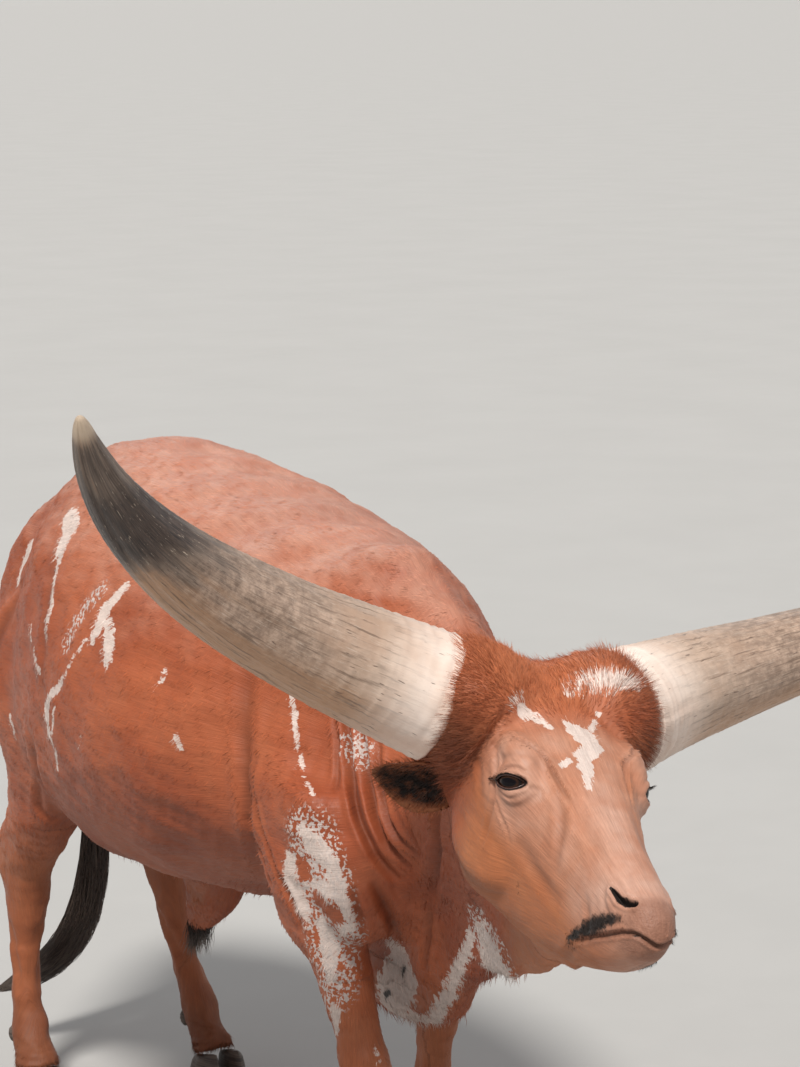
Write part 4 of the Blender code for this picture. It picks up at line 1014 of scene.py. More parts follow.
@dataclass
class Skin:
    """The flesh of the whole animal as one skin, sculpted and marked.

    Attributes:
        grain: Size of the voxels it is grown from.
        depth: How far the coat lies over it on the trunk.
        swell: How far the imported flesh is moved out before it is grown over.
        flesh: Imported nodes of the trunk, neck, tail and sheath.
        head_rows: Reach, top, bottom, half width, widest height and roundness of the head.
        head_forms: Middle and radii of the rounded forms on both sides of the head.
        chin: Middle and radii of the chin.
        throat: Sections of the throat, as for limb.
        nape: Sections of the upper neck, as for limb.
        shape: The skin, once grown.
        crease: How deep in a crease each of its points lies, from 0 to 1.
    """

    grain: float = 0.008
    depth: float = 0.003
    swell: float = 0.0006
    flesh: tuple = ("torso", "neck", "tail", "sheath")
    head_rows: tuple = (
        (-0.16, -0.05, -0.19, 0.085, -0.12, 2.2), (-0.08, -0.005, -0.21, 0.11, -0.12, 2.3),
        (0.0, 0.008, -0.235, 0.125, -0.11, 2.4), (0.08, 0.01, -0.275, 0.128, -0.1, 2.3),
        (0.15, 0.004, -0.3, 0.127, -0.1, 2.3), (0.22, -0.006, -0.303, 0.117, -0.1, 2.4),
        (0.3, -0.02, -0.296, 0.087, -0.11, 2.3), (0.38, -0.034, -0.268, 0.066, -0.12, 2.3),
        (0.45, -0.043, -0.232, 0.057, -0.12, 2.4), (0.51, -0.049, -0.196, 0.049, -0.115, 2.4),
        (0.548, -0.053, -0.16, 0.039, -0.106, 2.4), (0.573, -0.07, -0.132, 0.024, -0.102, 2.2),
    )
    head_forms: tuple = (
        ((0.11, 0.022, -0.045), (0.093, 0.115, 0.11)), ((0.042, 0.02, -0.024), (0.06, 0.085, 0.056)),
        ((0.088, 0.185, -0.03), (0.03, 0.055, 0.022)), ((0.09, 0.222, -0.064), (0.034, 0.046, 0.04)),
        ((0.076, 0.165, -0.19), (0.048, 0.11, 0.09)), ((0.024, 0.49, -0.088), (0.028, 0.04, 0.026)),
        ((0.01, 0.522, -0.094), (0.029, 0.034, 0.028)),
    )
    chin: tuple = ((0.0, 0.5, -0.154), (0.038, 0.048, 0.024))
    throat: tuple = (
        (-0.08, -0.73, 0.73, 0.04, 0.18, 0.098, 2.2), (-0.105, -0.85, 0.78, 0.036, 0.14, 0.1, 2.2),
        (-0.13, -0.96, 0.8, 0.033, 0.13, 0.095, 2.2), (-0.15, -1.04, 0.82, 0.03, 0.11, 0.1, 2.2),
        (-0.178, -1.12, 0.85, 0.025, 0.09, 0.094, 2.2), (-0.205, -1.2, 0.87, 0.025, 0.07, 0.066, 2.2),
        (-0.225, -1.28, 0.89, 0.022, 0.05, 0.068, 2.2),
    )
    nape: tuple = (
        (-0.042, -0.76, 0.94, 0.145, 0.185, 0.24, 1.8), (-0.065, -0.87, 0.99, 0.14, 0.165, 0.24, 2.2),
        (-0.095, -0.98, 1.02, 0.13, 0.15, 0.22, 2.2), (-0.125, -1.08, 1.06, 0.11, 0.12, 0.18, 2.2),
        (-0.14, -1.15, 1.08, 0.085, 0.09, 0.14, 2.2),
    )
    shape: Shape = None
    crease: Array = None

    def sources(self) -> Shape:
        """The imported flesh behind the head, and the head's own smooth forms."""
        names = [*self.flesh, *(f"{leg}_{part}" for leg in LEGS for part in ("leg", "shank"))]
        shapes = [node_shape(name, self.swell) for name in names]
        shapes.append(over_rings(head_rings(smooth_rows(self.head_rows, 6), 48)))
        shapes.append(limb(self.nape, 36, 6))
        shapes.append(limb(self.throat, 24, 6))
        for (x, reach, height), radii in self.head_forms:
            for side in (-1, 1):
                shapes.append(ball(from_head((side * x, reach, height))[0], radii, HEAD_TURN))
        shapes.append(ball(from_head(self.chin[0])[0], self.chin[1], HEAD_TURN))
        for side in (-1, 1):
            place = from_head((side * EYE_PLACE[0], *EYE_PLACE[1:]))[0]
            shapes.append(ball(place, (LID_RADIUS,) * 3, HEAD_TURN))
        spread = np.linspace(-1, 1, len(LIPS))
        corner = np.abs(spread)
        for size, offset in ((0.011, 0.01), (0.009, -0.01)):
            inward = LIPS * (0.8, 1, 1) - (0, 0.005, 0)
            inward[:, 2] += offset * (1 - 0.6 * corner**2)
            course = from_head(smooth_rows(inward, 4))
            radii = np.interp(np.linspace(-1, 1, len(course)), spread, size * (1 - 0.6 * corner**3))
            shapes.append(tube(course, radii, 10))
        return merged(shapes)

    def grow(self) -> None:
        """Grow one skin over all of it, with finer faces on the head and along the markings."""
        holder = linked("flesh", as_mesh("flesh", self.sources()))
        remesh = holder.modifiers.new("Skin", "REMESH")
        remesh.mode = "VOXEL"
        remesh.voxel_size = self.grain
        graph = bpy.context.evaluated_depsgraph_get()
        grown = bpy.data.meshes.new_from_object(holder.evaluated_get(graph))
        bpy.data.objects.remove(holder)
        work = bmesh.new()
        work.from_mesh(grown)
        self.keep_largest(work)
        eyes = [np.array(eye_frame(side).translation)[None] for side in (-1, 1)]
        nose = from_head([(side * 0.042, 0.51, -0.07) for side in (-1, 1)])
        nose = [nose[:1], nose[1:]]
        self.refine(work, lambda p: (to_head(p)[:, 1] > 0.1) & (to_head(p)[:, 2] > -0.34) & (p[:, 1] < -1.05))
        self.refine(work, self.near_markings)
        self.refine(work, lambda p: (np.abs(p[:, 1] + 0.65) < 0.19) & (p[:, 2] > 0.66)
                    & (np.abs(p[:, 0]) > 0.07))
        for paths, reach in (([*eyes, *nose, from_head(LIPS)], 0.04), (eyes, 0.042), (nose, 0.034)):
            self.refine(work, lambda p: np.min([path_field(p, path)[0] for path in paths], axis=0) < reach)
        self.shape = as_shape(work)

    def keep_largest(self, work: BMesh) -> None:
        """Delete every loose surface but the largest."""
        left = set(work.verts)
        groups = []
        while left:
            group = [left.pop()]
            for vert in group:
                for edge in vert.link_edges:
                    other = edge.other_vert(vert)
                    if other in left:
                        left.remove(other)
                        group.append(other)
            groups.append(group)
        groups.sort(key=len)
        bmesh.ops.delete(work, geom=[v for group in groups[:-1] for v in group], context="VERTS")

    def near_markings(self, points: Array) -> Array:
        """Which points lie beside a white marking of the body."""
        found = np.zeros(len(points), bool)
        for blotch in BLOTCHES:
            if blotch.mark is Mark.WHITE:
                width = np.full(len(blotch.path), blotch.width.max() + 0.012)
                wide = Blotch(Mark.WHITE, blotch.path, width, 0.004)
                found |= wide.strength(points) > 0.1
        return found

    def refine(self, work: BMesh, chosen: object) -> None:
        """Split the faces whose points are all chosen into four."""
        work.verts.ensure_lookup_table()
        work.verts.index_update()
        points = np.array([v.co for v in work.verts])
        picked = chosen(points)
        edges = [e for e in work.edges if picked[e.verts[0].index] and picked[e.verts[1].index]]
        bmesh.ops.subdivide_edges(work, edges=edges, cuts=1, use_grid_fill=True)
        work.verts.index_update()

    def settle(self) -> None:
        """Smooth the skin: most on the trunk, a little on legs, tail and face."""
        p = self.shape.points
        face = self.face_share(p)
        low = np.where(p[:, 1] > 0, 0.6, 0.66)
        broad = blend(p[:, 2] - low, 0.0, 0.12) * (1 - face)
        tail = blend(p[:, 1], 1.02, 1.06)
        self.shape.relax(broad * (1 - 0.9 * tail), 46)
        self.shape.relax(1 - face, 7)
        head = to_head(self.shape.points)
        jaw = blend(head[:, 2], -0.235, -0.29) * blend(head[:, 1], 0.42, 0.33) * (p[:, 1] < -0.98)
        self.shape.relax(np.clip(jaw, 0, 1), 45)
        self.shape.relax(np.ones(len(p)), 3)

    @staticmethod
    def face_share(points: Array) -> Array:
        """How far each point belongs to the face, from 0 behind the poll to 1."""
        head = to_head(points)
        return blend(head[:, 1], 0.02, 0.12) * (points[:, 1] < -0.98) * blend(head[:, 2], -0.42, -0.34)

    def sculpt(self) -> None:
        """Give the skin its folds, wrinkles, sockets, nostrils and lips."""
        clay = Clay(self.shape)
        p = self.shape.points
        face = self.face_share(p)
        clay.offset(-(self.depth * (1 - 0.75 * face) * np.where(p[:, 2] < 0.3, 0.4, 1.0)))
        clay.lumps()
        for side in (-1, 1):
            self.body_folds(clay, side)
            self.leg_forms(clay, side)
            self.face_folds(clay, side)
        clay.refresh()
        for side in (-1, 1):
            self.nostril(clay, side)
            clay.open_eye(side)
        self.mouth(clay)
        self.shape = clay.shape
        self.crease = clay.crease

    def body_folds(self, clay: "Clay", side: int) -> None:
        """Neck folds, shoulder, elbow, flank and thigh of one side."""
        ease = 1.0 if side < 0 else 0.6
        for width, depth, *path in FOLDS:
            course = smooth_rows(np.array(path) / 1000 * (-side, 1, 1), 6)
            clay.groove(course, width / 1000, depth / 1000 * ease, 0.5)
        clay.mound((side * 0.255, 0.455, 1.19), (0.075, 0.09, 0.06), 0.009)
        clay.mound((side * 0.205, 0.93, 1.07), (0.06, 0.07, 0.06), 0.006)
        clay.mound((side * 0.225, -0.49, 0.88), (0.08, 0.08, 0.09), 0.007)

    def leg_forms(self, clay: "Clay", side: int) -> None:
        """Joints, tendons and wrinkles of the two legs of one side."""
        word = "right" if side < 0 else "left"
        for leg in (f"fore_{word}", f"hind_{word}"):
            low, high = (np.array(v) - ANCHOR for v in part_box(f"{leg}_shank"))
            foot = np.array(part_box(f"{leg}_claw_left")[0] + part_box(f"{leg}_claw_right")[1]) / 2 - ANCHOR
            x = foot[0]
            top = high[2]
            y_top = 0.5 * (high[1] + low[1]) if leg.startswith("fore") else high[1] - 0.085
            y_low = foot[1] + 0.05
            for sign in (-1, 1):
                upper = (x + sign * 0.034, y_top + 0.018, top - 0.06)
                lower = (x + sign * 0.033, y_low + 0.018, 0.2)
                clay.groove(smooth_rows((upper, lower), 6), 0.009, 0.0045, 0.5)
                clay.mound((x + sign * 0.036, y_low + 0.004, 0.15), (0.02, 0.024, 0.024), 0.004)
            for i, height in enumerate((0.122, 0.108, 0.094, 0.083)):
                ring = [(x + 0.055 * math.cos(a), y_low - 0.012 - 0.012 * i + 0.055 * math.sin(a),
                         height - 0.012 * math.sin(a)) for a in np.linspace(0, 2 * math.pi, 15)]
                clay.groove(np.array(ring), 0.0045, 0.0028, 0.6)
            if leg.startswith("fore"):
                for height in (0.455, 0.425, 0.345):
                    ring = [(x + 0.048 * math.cos(a), y_top + 0.05 * math.sin(a), height)
                            for a in np.linspace(math.pi, 2 * math.pi, 9)]
                    clay.groove(np.array(ring), 0.01, 0.0022, 0.6)

    def face_folds(self, clay: "Clay", side: int) -> None:
        """Brow, cheek and muzzle creases of one side of the head."""
        eye = eye_frame(side)
        ease = 1.0 if side < 0 else 0.5

        def lid_line(rows: Sequence) -> Array:
            """Points over the lids, given along and up from the middle of the eye."""
            found = []
            for along, up in rows:
                rise = math.sqrt(max(LID_RADIUS**2 - 0.6 * (along**2 + up**2), 1e-5))
                found.append(eye @ Vector((along, up, rise)))
            return smooth_rows(np.array(found), 5)

        for width, depth, *path in LID_FOLDS:
            clay.groove(lid_line(np.array(path) / 1000), width / 1000, depth / 1000 * ease, 0.45)
        for width, depth, *path in CREASES:
            course = from_head(smooth_rows(np.array(path) / 1000 * (side, 1, 1), 5))
            clay.groove(course, width / 1000, depth / 1000 * (0.6 + 0.4 * ease), 0.5)
        for i in range(5):
            lean = 0.012 * i
            fold = [(side * 0.086, 0.128 + lean, 0.03 - 0.9 * lean), (side * 0.112, 0.112 + lean, -0.03),
                    (side * 0.12, 0.108 + lean, -0.09)]
            clay.groove(from_head(smooth_rows(fold, 5)), 0.0045, 0.0018, 0.7)

    def nostril(self, clay: "Clay", side: int) -> None:
        """One comma-shaped nostril with a raised rim."""
        line = from_head(smooth_rows(np.array(NOSTRIL_LINE) * (side, 1, 1), 5))
        away, share, near = clay.away(line, 0.03)
        half = np.interp(share, NOSTRIL_SHARES, NOSTRIL_HALVES)
        inward = from_head(np.array(NOSTRIL_INWARD) * (side, 1, 1))[0] - from_head((0, 0, 0))[0]
        rim = np.exp(-(((away - half - 0.0035) / 0.0035) ** 2)) * 0.0022
        pit = 1 - np.clip((away / half - 0.45) / 0.55, 0, 1) ** 1.3
        clay.push(near, unit(inward[None]) * (0.017 * np.clip(pit, 0, 1))[:, None])
        clay.raise_(near, rim)

    def mouth(self, clay: "Clay") -> None:
        """The line between the lips, drawn in most at the front."""
        clay.groove(from_head(smooth_rows(LIPS, 5)), 0.0034, 0.008, 0.22, taper=0.25)


class Clay:
    """A skin whose points are pushed in and out."""

    def __init__(self, shape: Shape) -> None:
        """Start from a shape."""
        self.shape = shape
        self.crease = np.zeros(len(shape.points))
        self.refresh()

    def refresh(self) -> None:
        """Take the normals again from the shape as it is now."""
        self.facing = self.shape.normals()

    def push(self, near: Array, moves: Array) -> None:
        """Move some points."""
        self.shape.points[near] += moves

    def raise_(self, near: Array, heights: Array) -> None:
        """Raise some points along their normals."""
        self.shape.points[near] += self.facing[near] * heights[:, None]

    def offset(self, heights: Array) -> None:
        """Raise every point by its own height."""
        self.shape.points = self.shape.points + self.facing * heights[:, None]

    def away(self, line: Array, reach: float) -> tuple[Array, Array, Array]:
        """Distance and share along a line for the points within reach of it, and which they are."""
        p = self.shape.points
        near = beside(p, line, reach)
        away, share = path_field(p[near], line)
        close = away < reach
        return away[close], share[close], near[close]

    def groove(self, line: Array, width: float, depth: float, shoulder: float, taper: float = 0.6) -> None:
        """Press a groove along a line, with soft shoulders, fading at both ends.

        Args:
            line: Its course.
            width: How wide it is.
            depth: How deep it is.
            shoulder: Height of its shoulders as a share of the depth.
            taper: How soon it reaches its full depth.
        """
        line = self.settled(line)
        away, share, near = self.away(line, 4 * width)
        end = np.clip(np.sin(math.pi * np.clip(share, 0.001, 0.999)), 0, 1) ** taper
        hollow = np.exp(-((away / width) ** 2)) * end
        ridge = np.exp(-(((away - 1.9 * width) / width) ** 2)) * end
        self.raise_(near, depth * (shoulder * ridge - hollow))
        self.crease[near] = np.maximum(self.crease[near], hollow * min(depth / 0.008, 1.0))

    def settled(self, line: Array) -> Array:
        """A line laid on the skin, each point at the nearest one of the surface, then evened out."""
        p = self.shape.points
        near = p[beside(p, line, 0.09)]
        if not len(near):
            return line
        laid = np.array([near[np.argmin(((near - spot) ** 2).sum(1))] for spot in line])
        for _ in range(2):
            laid[1:-1] = (laid[:-2] + 2 * laid[1:-1] + laid[2:]) / 4
        return laid

    def mound(self, centre: Sequence[float], radii: Sequence[float], height: float) -> None:
        """Raise a soft mound."""
        offset = (self.shape.points - np.array(centre)) / np.array(radii)
        away = np.einsum("ij,ij->i", offset, offset)
        near = np.flatnonzero(away < 4)
        self.raise_(near, height * np.exp(-1.4 * away[near]))

    def lumps(self) -> None:
        """Faint unevenness of flesh on the body, at three sizes."""
        p = self.shape.points
        calm = 1 - Skin.face_share(p)
        rise = np.zeros(len(p))
        rng = np.random.default_rng(5)
        for size, height in ((0.16, 0.0022), (0.07, 0.0011), (0.03, 0.0005)):
            for _ in range(6):
                wave = rng.normal(size=3)
                wave = wave / np.linalg.norm(wave) * 2 * math.pi / size
                rise += height * 0.5 * np.sin(p @ wave + rng.uniform(0, 6.28))
        self.offset(rise * (0.25 + 0.75 * calm))

    def open_eye(self, side: int) -> None:
        """Open the lids of one eye: their edges turn in and the socket lies behind the ball."""
        local = to_eye(self.shape.points, side)
        near = np.flatnonzero((np.linalg.norm(local, axis=1) < 0.05) & (local[:, 2] > 0))
        u, v, w = local[near].T
        half, up, down = OPENING
        wide = np.clip(np.abs(u) / half, 0, 1.6)
        level = np.where(v > 0, up, down) * np.maximum(1 - wide**2, 0.0) ** 0.7
        s = np.where(wide < 1, np.abs(v) / np.maximum(level, 1e-4), 9.0)
        s = np.minimum(s, np.hypot(u / half, v / np.where(v > 0, up, down)))
        inside = s < 1
        wall = np.clip((s - 0.5) / 0.5, 0, 1)
        grow = np.where(inside, 1 / np.maximum(s, 0.5), 1.0)
        new_u, new_v = u * grow, v * grow
        edge = np.sqrt(np.maximum(LID_RADIUS**2 - new_u**2 - new_v**2, 1e-6))
        floor = 0.006
        new_w = np.where(inside, np.where(s > 0.5, floor + (edge - floor) * wall, floor), w)
        lip = np.exp(-(((s - 1.12) / 0.14) ** 2)) * (~inside) * 0.0012
        ride = blend(s, 1.5, 1.0) * (~inside)
        new_w = np.where(inside, new_w, w + ride * (np.sqrt(np.maximum(
            (LID_RADIUS + 0.0002) ** 2 - u**2 - v**2, 1e-6)) - w) + lip)
        self.shape.points[near] = from_eye(np.column_stack([new_u, new_v, new_w]), side)


@dataclass
class Coloured:
    """What skin and hair keep at each point: markings, tones, the lie of the coat and its size."""

    points: Array
    normals: Array

    def marks(self) -> Array:
        """White, roan, pale and dark, from 0 to 1; pale includes painted sheen on the top of the back, and
        dark includes painted shade in the nostrils.
        """
        p = self.points
        head = to_head(p)
        found = np.zeros((len(p), 5))
        for blotch in BLOTCHES:
            raise_column(found, blotch.mark.value, blotch.strength(p))
        near_head = of_head(p, head, -0.05)
        for blotch in HEAD_BLOTCHES:
            raise_column(found, blotch.mark.value, blotch.strength(head) * near_head)
        low = p[:, 2]
        # Painted sunlit sheen: the upward-facing top of the back is made paler and pinker.
        back = blend(self.normals[:, 2], 0.25, 0.95) * blend(low, 1.05, 1.25) * (p[:, 1] > -0.8)
        raise_column(found, Mark.PALE.value, 0.55 * back)
        for side in (-1, 1):
            local = to_eye(p, side)
            lid = np.where(local[:, 1] > 0, OPENING[1], OPENING[2])
            ring = np.hypot(local[:, 0] / OPENING[0], local[:, 1] / lid)
            rim = blend(ring, 1.45, 1.05) * (np.linalg.norm(local, axis=1) < 0.045)
            raise_column(found, Mark.DARK.value, rim * 0.9)
        away, _ = path_field(head, LIPS)
        raise_column(found, Mark.DARK.value, blend(away, 0.0045, 0.0015) * 0.9)
        # Painted shade: the nostril holes are coloured dark.
        folded = one_side(head)
        inward = np.array(NOSTRIL_INWARD)
        flat, line = (rows - np.outer(rows @ inward, inward) for rows in (folded, np.array(NOSTRIL_LINE)))
        away, share = path_field(flat, line)
        half = np.interp(share, NOSTRIL_SHARES, NOSTRIL_HALVES)
        pit = np.clip(2.1 - 1.9 * away / half, 0, 1) * (path_field(folded, np.array(NOSTRIL_LINE))[0] < 0.024)
        raise_column(found, Mark.DARK.value, pit * near_head)
        found[:, :2] *= 1 - found[:, 4:]
        return found[:, :4]

    def tone(self) -> Array:
        """Tan, bare skin, painted shade and a spare number, from 0 to 1."""
        p = self.points
        head = to_head(p)
        x, reach, height = head.T
        on_head = of_head(p, head, -0.1)
        leg = blend(p[:, 2], 0.66, 0.46) * (np.abs(p[:, 0]) > 0.06)
        poll = on_head * blend(reach, 0.17, 0.08) * blend(height, -0.2, -0.08)
        collar = on_head * blend(np.abs(x), 0.15, 0.185)
        face = on_head * blend(reach, 0.08, 0.2) * 0.55
        tan = np.clip(np.maximum.reduce([leg * 0.3, poll * 0.25, collar * 0.8, face]), 0, 1)
        nose = on_head * blend(reach, 0.52, 0.545) * blend(height, -0.145, -0.12)
        nose = nose * blend(np.abs(x), 0.046, 0.036)
        lips, _ = path_field(head, LIPS)
        bare = np.maximum(nose, on_head * blend(lips, 0.012, 0.006) * 0.7)
        # Painted shade between the legs, under the body.
        pit = blend(p[:, 2], 0.66, 0.6) * blend(np.abs(p[:, 0]), 0.12, 0.06)
        # Painted shade in the hollow under each horn root.
        spread = ((np.abs(x) - 0.15) / 0.055) ** 2 + ((reach - 0.11) / 0.045) ** 2
        hollow = np.exp(-spread - ((height + 0.06) / 0.055) ** 2) * on_head
        # Painted shade down the legs; the feet are darker too, partly in their own colour and partly painted
        # shade.
        foot = 0.35 * leg + 0.5 * blend(p[:, 2], 0.24, 0.1)
        # Painted shade on the undersides, which face down.
        under = 0.45 * blend(self.normals[:, 2], -0.2, -0.9) * ~on_head
        shade = np.clip(np.maximum.reduce([pit * 0.4, hollow * 0.8, foot, under]), 0, 1)
        return np.column_stack([tan, bare, shade, np.ones(len(p))])

    def flow(self) -> Array:
        """Way the hair lies at each point, along the skin."""
        p = self.points
        head = to_head(p)
        trunk = np.tile((0.0, 0.86, -0.42), (len(p), 1))
        side = np.abs(self.normals[:, 0])
        trunk[:, 2] -= 0.35 * side
        trunk[:, 0] += 0.25 * np.sign(p[:, 0]) * blend(p[:, 2], 1.15, 1.3)
        chest = blend(p[:, 1], -0.45, -0.65)[:, None]
        trunk = trunk * (1 - chest) + np.array((0.0, 0.5, -0.86)) * chest
        folds = self.folded()[:, None]
        trunk = trunk * (1 - folds) + np.array((0.0, -0.5, -0.86)) * folds
        leg = blend(p[:, 2], 0.7, 0.52)[:, None]
        found = trunk * (1 - leg) + np.array((0.0, 0.12, -1.0)) * leg
        tail = blend(p[:, 1], 0.98, 1.06)[:, None]
        found = found * (1 - tail) + np.array((0.0, 0.25, -1.0)) * tail
        away = head - np.array(WHORL)
        face = unit(away - np.linalg.norm(away, axis=1)[:, None] * (0, 0, 0.35))
        poll = blend(head[:, 1], 0.12, 0.02)[:, None]
        face = unit(face * (1 - 0.3 * poll) + np.array((0.0, -0.4, -0.3)) * poll)
        face = (face * (1, -1, 1)) @ HEAD_TURN.T
        share = (blend(head[:, 1], -0.12, 0.02) * (p[:, 1] < -0.9))[:, None]
        found = found * (1 - share) + face * share
        swirl = 0.14 * np.sin(p @ np.array((9.0, 5.0, 11.0)))
        swirl = swirl + 0.1 * np.sin(p @ np.array((-21.0, 17.0, 13.0)) + 1.7)
        found = unit(found - self.normals * np.einsum("ij,ij->i", found, self.normals)[:, None])
        return unit(found + np.cross(self.normals, found) * swirl[:, None])

    def folded(self) -> Array:
        """How near each point is to the folds of the neck, from 0 to 1."""
        offset = (one_side(self.points) - (0.175, -0.615, 0.925)) / (0.12, 0.15, 0.19)
        return np.exp(-np.einsum("ij,ij->i", offset, offset) ** 2)

    def fur(self) -> Array:
        """Length of the tufts as a share of those on the trunk, and how thickly they grow."""
        p = self.points
        head = to_head(p)
        x, reach, height = head.T
        on_head = of_head(p, head, -0.05)
        size = 1 - 0.45 * self.folded()
        size = np.where(p[:, 2] < 0.62, 0.5 + 0.5 * blend(p[:, 2], 0.3, 0.62), size)
        size = np.where(on_head, 0.95 - 0.55 * blend(reach, 0.06, 0.2), size)
        size = np.where(on_head & (reach > 0.4), 0.28, size)
        poll = on_head * blend(reach, 0.16, 0.06) * blend(height, -0.16, -0.04)
        size = size + 0.75 * poll
        thick = np.where(on_head, 2.6, 1.0) + np.where(p[:, 2] < 0.62, 0.7, 0.0) + poll
        for side in (-1, 1):
            away = np.linalg.norm(p - np.array(eye_frame(side).translation), axis=1)
            size = np.where(away < 0.055, 0.2, size)
            thick = np.where(away < 0.034, 0.0, thick)
        return np.column_stack([size, thick])

    def lie(self) -> Array:
        """Distance round and along the part that a point is on."""
        region, round_, along, radius = self.parts()
        return np.column_stack([round_ * radius, along, region * 0.37])

    def parts(self) -> Array:
        """Part of the body, angle round it, distance along it and its usual radius.

        Returns:
            Four rows, the first 0 for the trunk, 1 for the head, 2 to 5 for the legs and 6 for the tail.
        """
        p = self.points
        head = to_head(p)
        found = np.zeros((len(p), 4))

        def put(here: Array, number: int, angle: Array, along: Array, radius: float) -> None:
            """Set the four numbers of some points."""
            found[here] = np.column_stack([0 * angle + number, angle, along, 0 * angle + radius])[here]

        put(slice(None), 0, np.arctan2(p[:, 0], p[:, 2] - 0.93), p[:, 1], 0.36)
        on_head = (head[:, 1] > -0.08) & (p[:, 1] < -0.9)
        put(on_head, 1, np.arctan2(head[:, 0], head[:, 2] + 0.12), head[:, 1], 0.11)
        tail = (p[:, 1] > 1.045) & (p[:, 2] < 1.21)
        for i, (side, y) in enumerate(((-1, -0.52), (1, -0.24), (-1, 0.84), (1, 0.8))):
            here = (p[:, 2] < 0.6) & (np.sign(p[:, 0]) == side) & ((p[:, 1] > 0.25) == (i > 1)) & ~tail
            here &= (np.abs(p[:, 0]) > 0.07) | (p[:, 2] < 0.45)
            put(here, 2 + i, np.arctan2(p[:, 1] - y, side * (p[:, 0] - side * 0.17)), p[:, 2], 0.05)
        put(tail, 6, np.arctan2(p[:, 1] - 1.095, p[:, 0] - 0.03), p[:, 2], 0.02)
        return found.T

    def chart(self) -> Array:
        """Place of each point on an unwrap of the skin, inside the unit square."""
        region, round_, along, _ = self.parts()
        x, y, wide, tall, least, most = CHART[region.astype(int)].T
        share = np.clip((along - least) / (most - least), 0, 1)
        return np.column_stack([x + wide * (round_ / (2 * math.pi) + 0.5), y + tall * share])


@dataclass
class Ears:
    """The two cupped ears, as part of the skin.

    Attributes:
        line: Place of the middle in the head's axes, half width and depth of the cup, from root to tip.
        thickness: Thickness of the wall.
        faces: The way the cup opens.
        rows: Rings for each stretch of the line.
        around: Points round each ring.
    """

    line: tuple = (
        (0.098, 0.05, -0.16, 0.028, 0.02), (0.128, 0.052, -0.182, 0.045, 0.028),
        (0.158, 0.038, -0.194, 0.05, 0.025), (0.19, 0.01, -0.2, 0.034, 0.016),
        (0.212, -0.016, -0.204, 0.006, 0.004),
    )
    thickness: float = 0.0062
    faces: tuple = (0.5, -0.8, -0.3)
    rows: int = 12
    around: int = 30

    def build(self, side: int) -> tuple[Shape, Array]:
        """One ear, and how far each of its points lies inside the cup.

        Args:
            side: -1 for the right ear and 1 for the left one.

        Returns:
            The ear and the number for each point, from 0 to 1.
        """
        rows = smooth_rows(self.line, self.rows)
        centre = rows[:, :3] * (side, -1, 1)
        along = unit(np.gradient(centre, axis=0))
        opening = np.array(self.faces) * (side, 1, 1)
        face = unit(opening - along * (along @ opening)[:, None])
        across = np.cross(face, along)
        width, cup = rows[:, 3:4], rows[:, 4:5]
        half = self.around // 2
        turn = np.linspace(0, math.pi, half + 1)
        share = np.linspace(0, 1, len(rows))[:, None]
        wave = 1 + 0.05 * np.sin(9 * share + 2.2 * np.cos(turn))
        outer_wide = np.cos(turn) * width * wave
        outer_deep = np.sin(turn) ** 0.85 * cup
        thick = np.minimum(self.thickness, 0.85 * cup)
        back = turn[-2:0:-1]
        fold = 0.0022 * np.sin(5 * back) * np.sin(math.pi * np.clip(share, 0, 1))
        inner_wide = np.cos(back) * (width * wave[:, half // 2][:, None] - 0.55 * thick)
        inner_deep = np.sin(back) ** 0.85 * np.maximum(cup - thick, 0.1 * cup) + fold
        wide = np.hstack([outer_wide, inner_wide])
        deep = np.hstack([outer_deep, inner_deep])
        rings = centre[:, None] + across[:, None] * wide[..., None] - face[:, None] * deep[..., None]
        shape = over_rings(carried(rings))
        cupped = np.hstack([np.zeros_like(outer_wide), np.sin(back)[None] + 0 * inner_wide])
        cupped = np.concatenate([cupped.ravel(), [0.0, 0.0]])
        fade = blend(share[:, 0], 1.0, 0.8) * blend(share[:, 0], 0.02, 0.22)
        return shape, cupped * np.concatenate([np.repeat(fade, cupped.size // len(rows)), [0, 0]])


def dress_skin(skin: Skin, paints: Palette) -> Object:
    """Join skin and ears, keep their colours at each point, and make the piece.

    Args:
        skin: The finished skin.
        paints: The materials.

    Returns:
        The skin as an object that stands for the flesh nodes.
    """
    body = skin.shape
    looks = Coloured(body.points, body.normals())
    marks, tone, lie = looks.marks(), looks.tone(), looks.lie()
    # Painted shade: the skin is darkened in its creases.
    raise_column(tone, 2, 0.75 * skin.crease)
    shapes = [body]
    for side, _ in SIDES:
        ear, inside = Ears().build(side)
        count = len(ear.points)
        ear_marks = np.zeros((count, 4))
        # Dark hair lines the inside of the cup; the shade number below also paints shade there.
        ear_marks[:, 3] = 0.72 * blend(inside, 0.15, 0.6)
        head = to_head(ear.points)
        ear_tone = np.column_stack([np.full(count, 0.55), inside * 0.3, inside * 0.5, np.ones(count)])
        reach = np.linalg.norm(head - head[0], axis=1)
        round_ = np.arctan2(head[:, 2] + 0.2, head[:, 1])
        marks = np.vstack([marks, ear_marks])
        tone = np.vstack([tone, ear_tone])
        lie = np.vstack([lie, np.column_stack([round_ * 0.05, reach, np.full(count, 3.0)])])
        shapes.append(ear)
    whole = merged(shapes)
    made = piece("skin", whole, paints.coat_skin)
    colour_rows(made.data, "marks", marks)
    colour_rows(made.data, "tone", tone)
    vector_rows(made.data, "lie", lie)
    names = [*skin.flesh, "head", "ear_right", "ear_left"]
    names.extend(f"{leg}_{part}" for leg in LEGS for part in ("leg", "shank"))
    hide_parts(*names)
    return made


# Coat


@dataclass
class Roots:
    """Places where hair grows: the points, and what the skin keeps there."""

    points: Array
    normals: Array
    flow: Array
    fur: Array
    marks: Array
    tone: Array
    lie: Array
    chart: Array


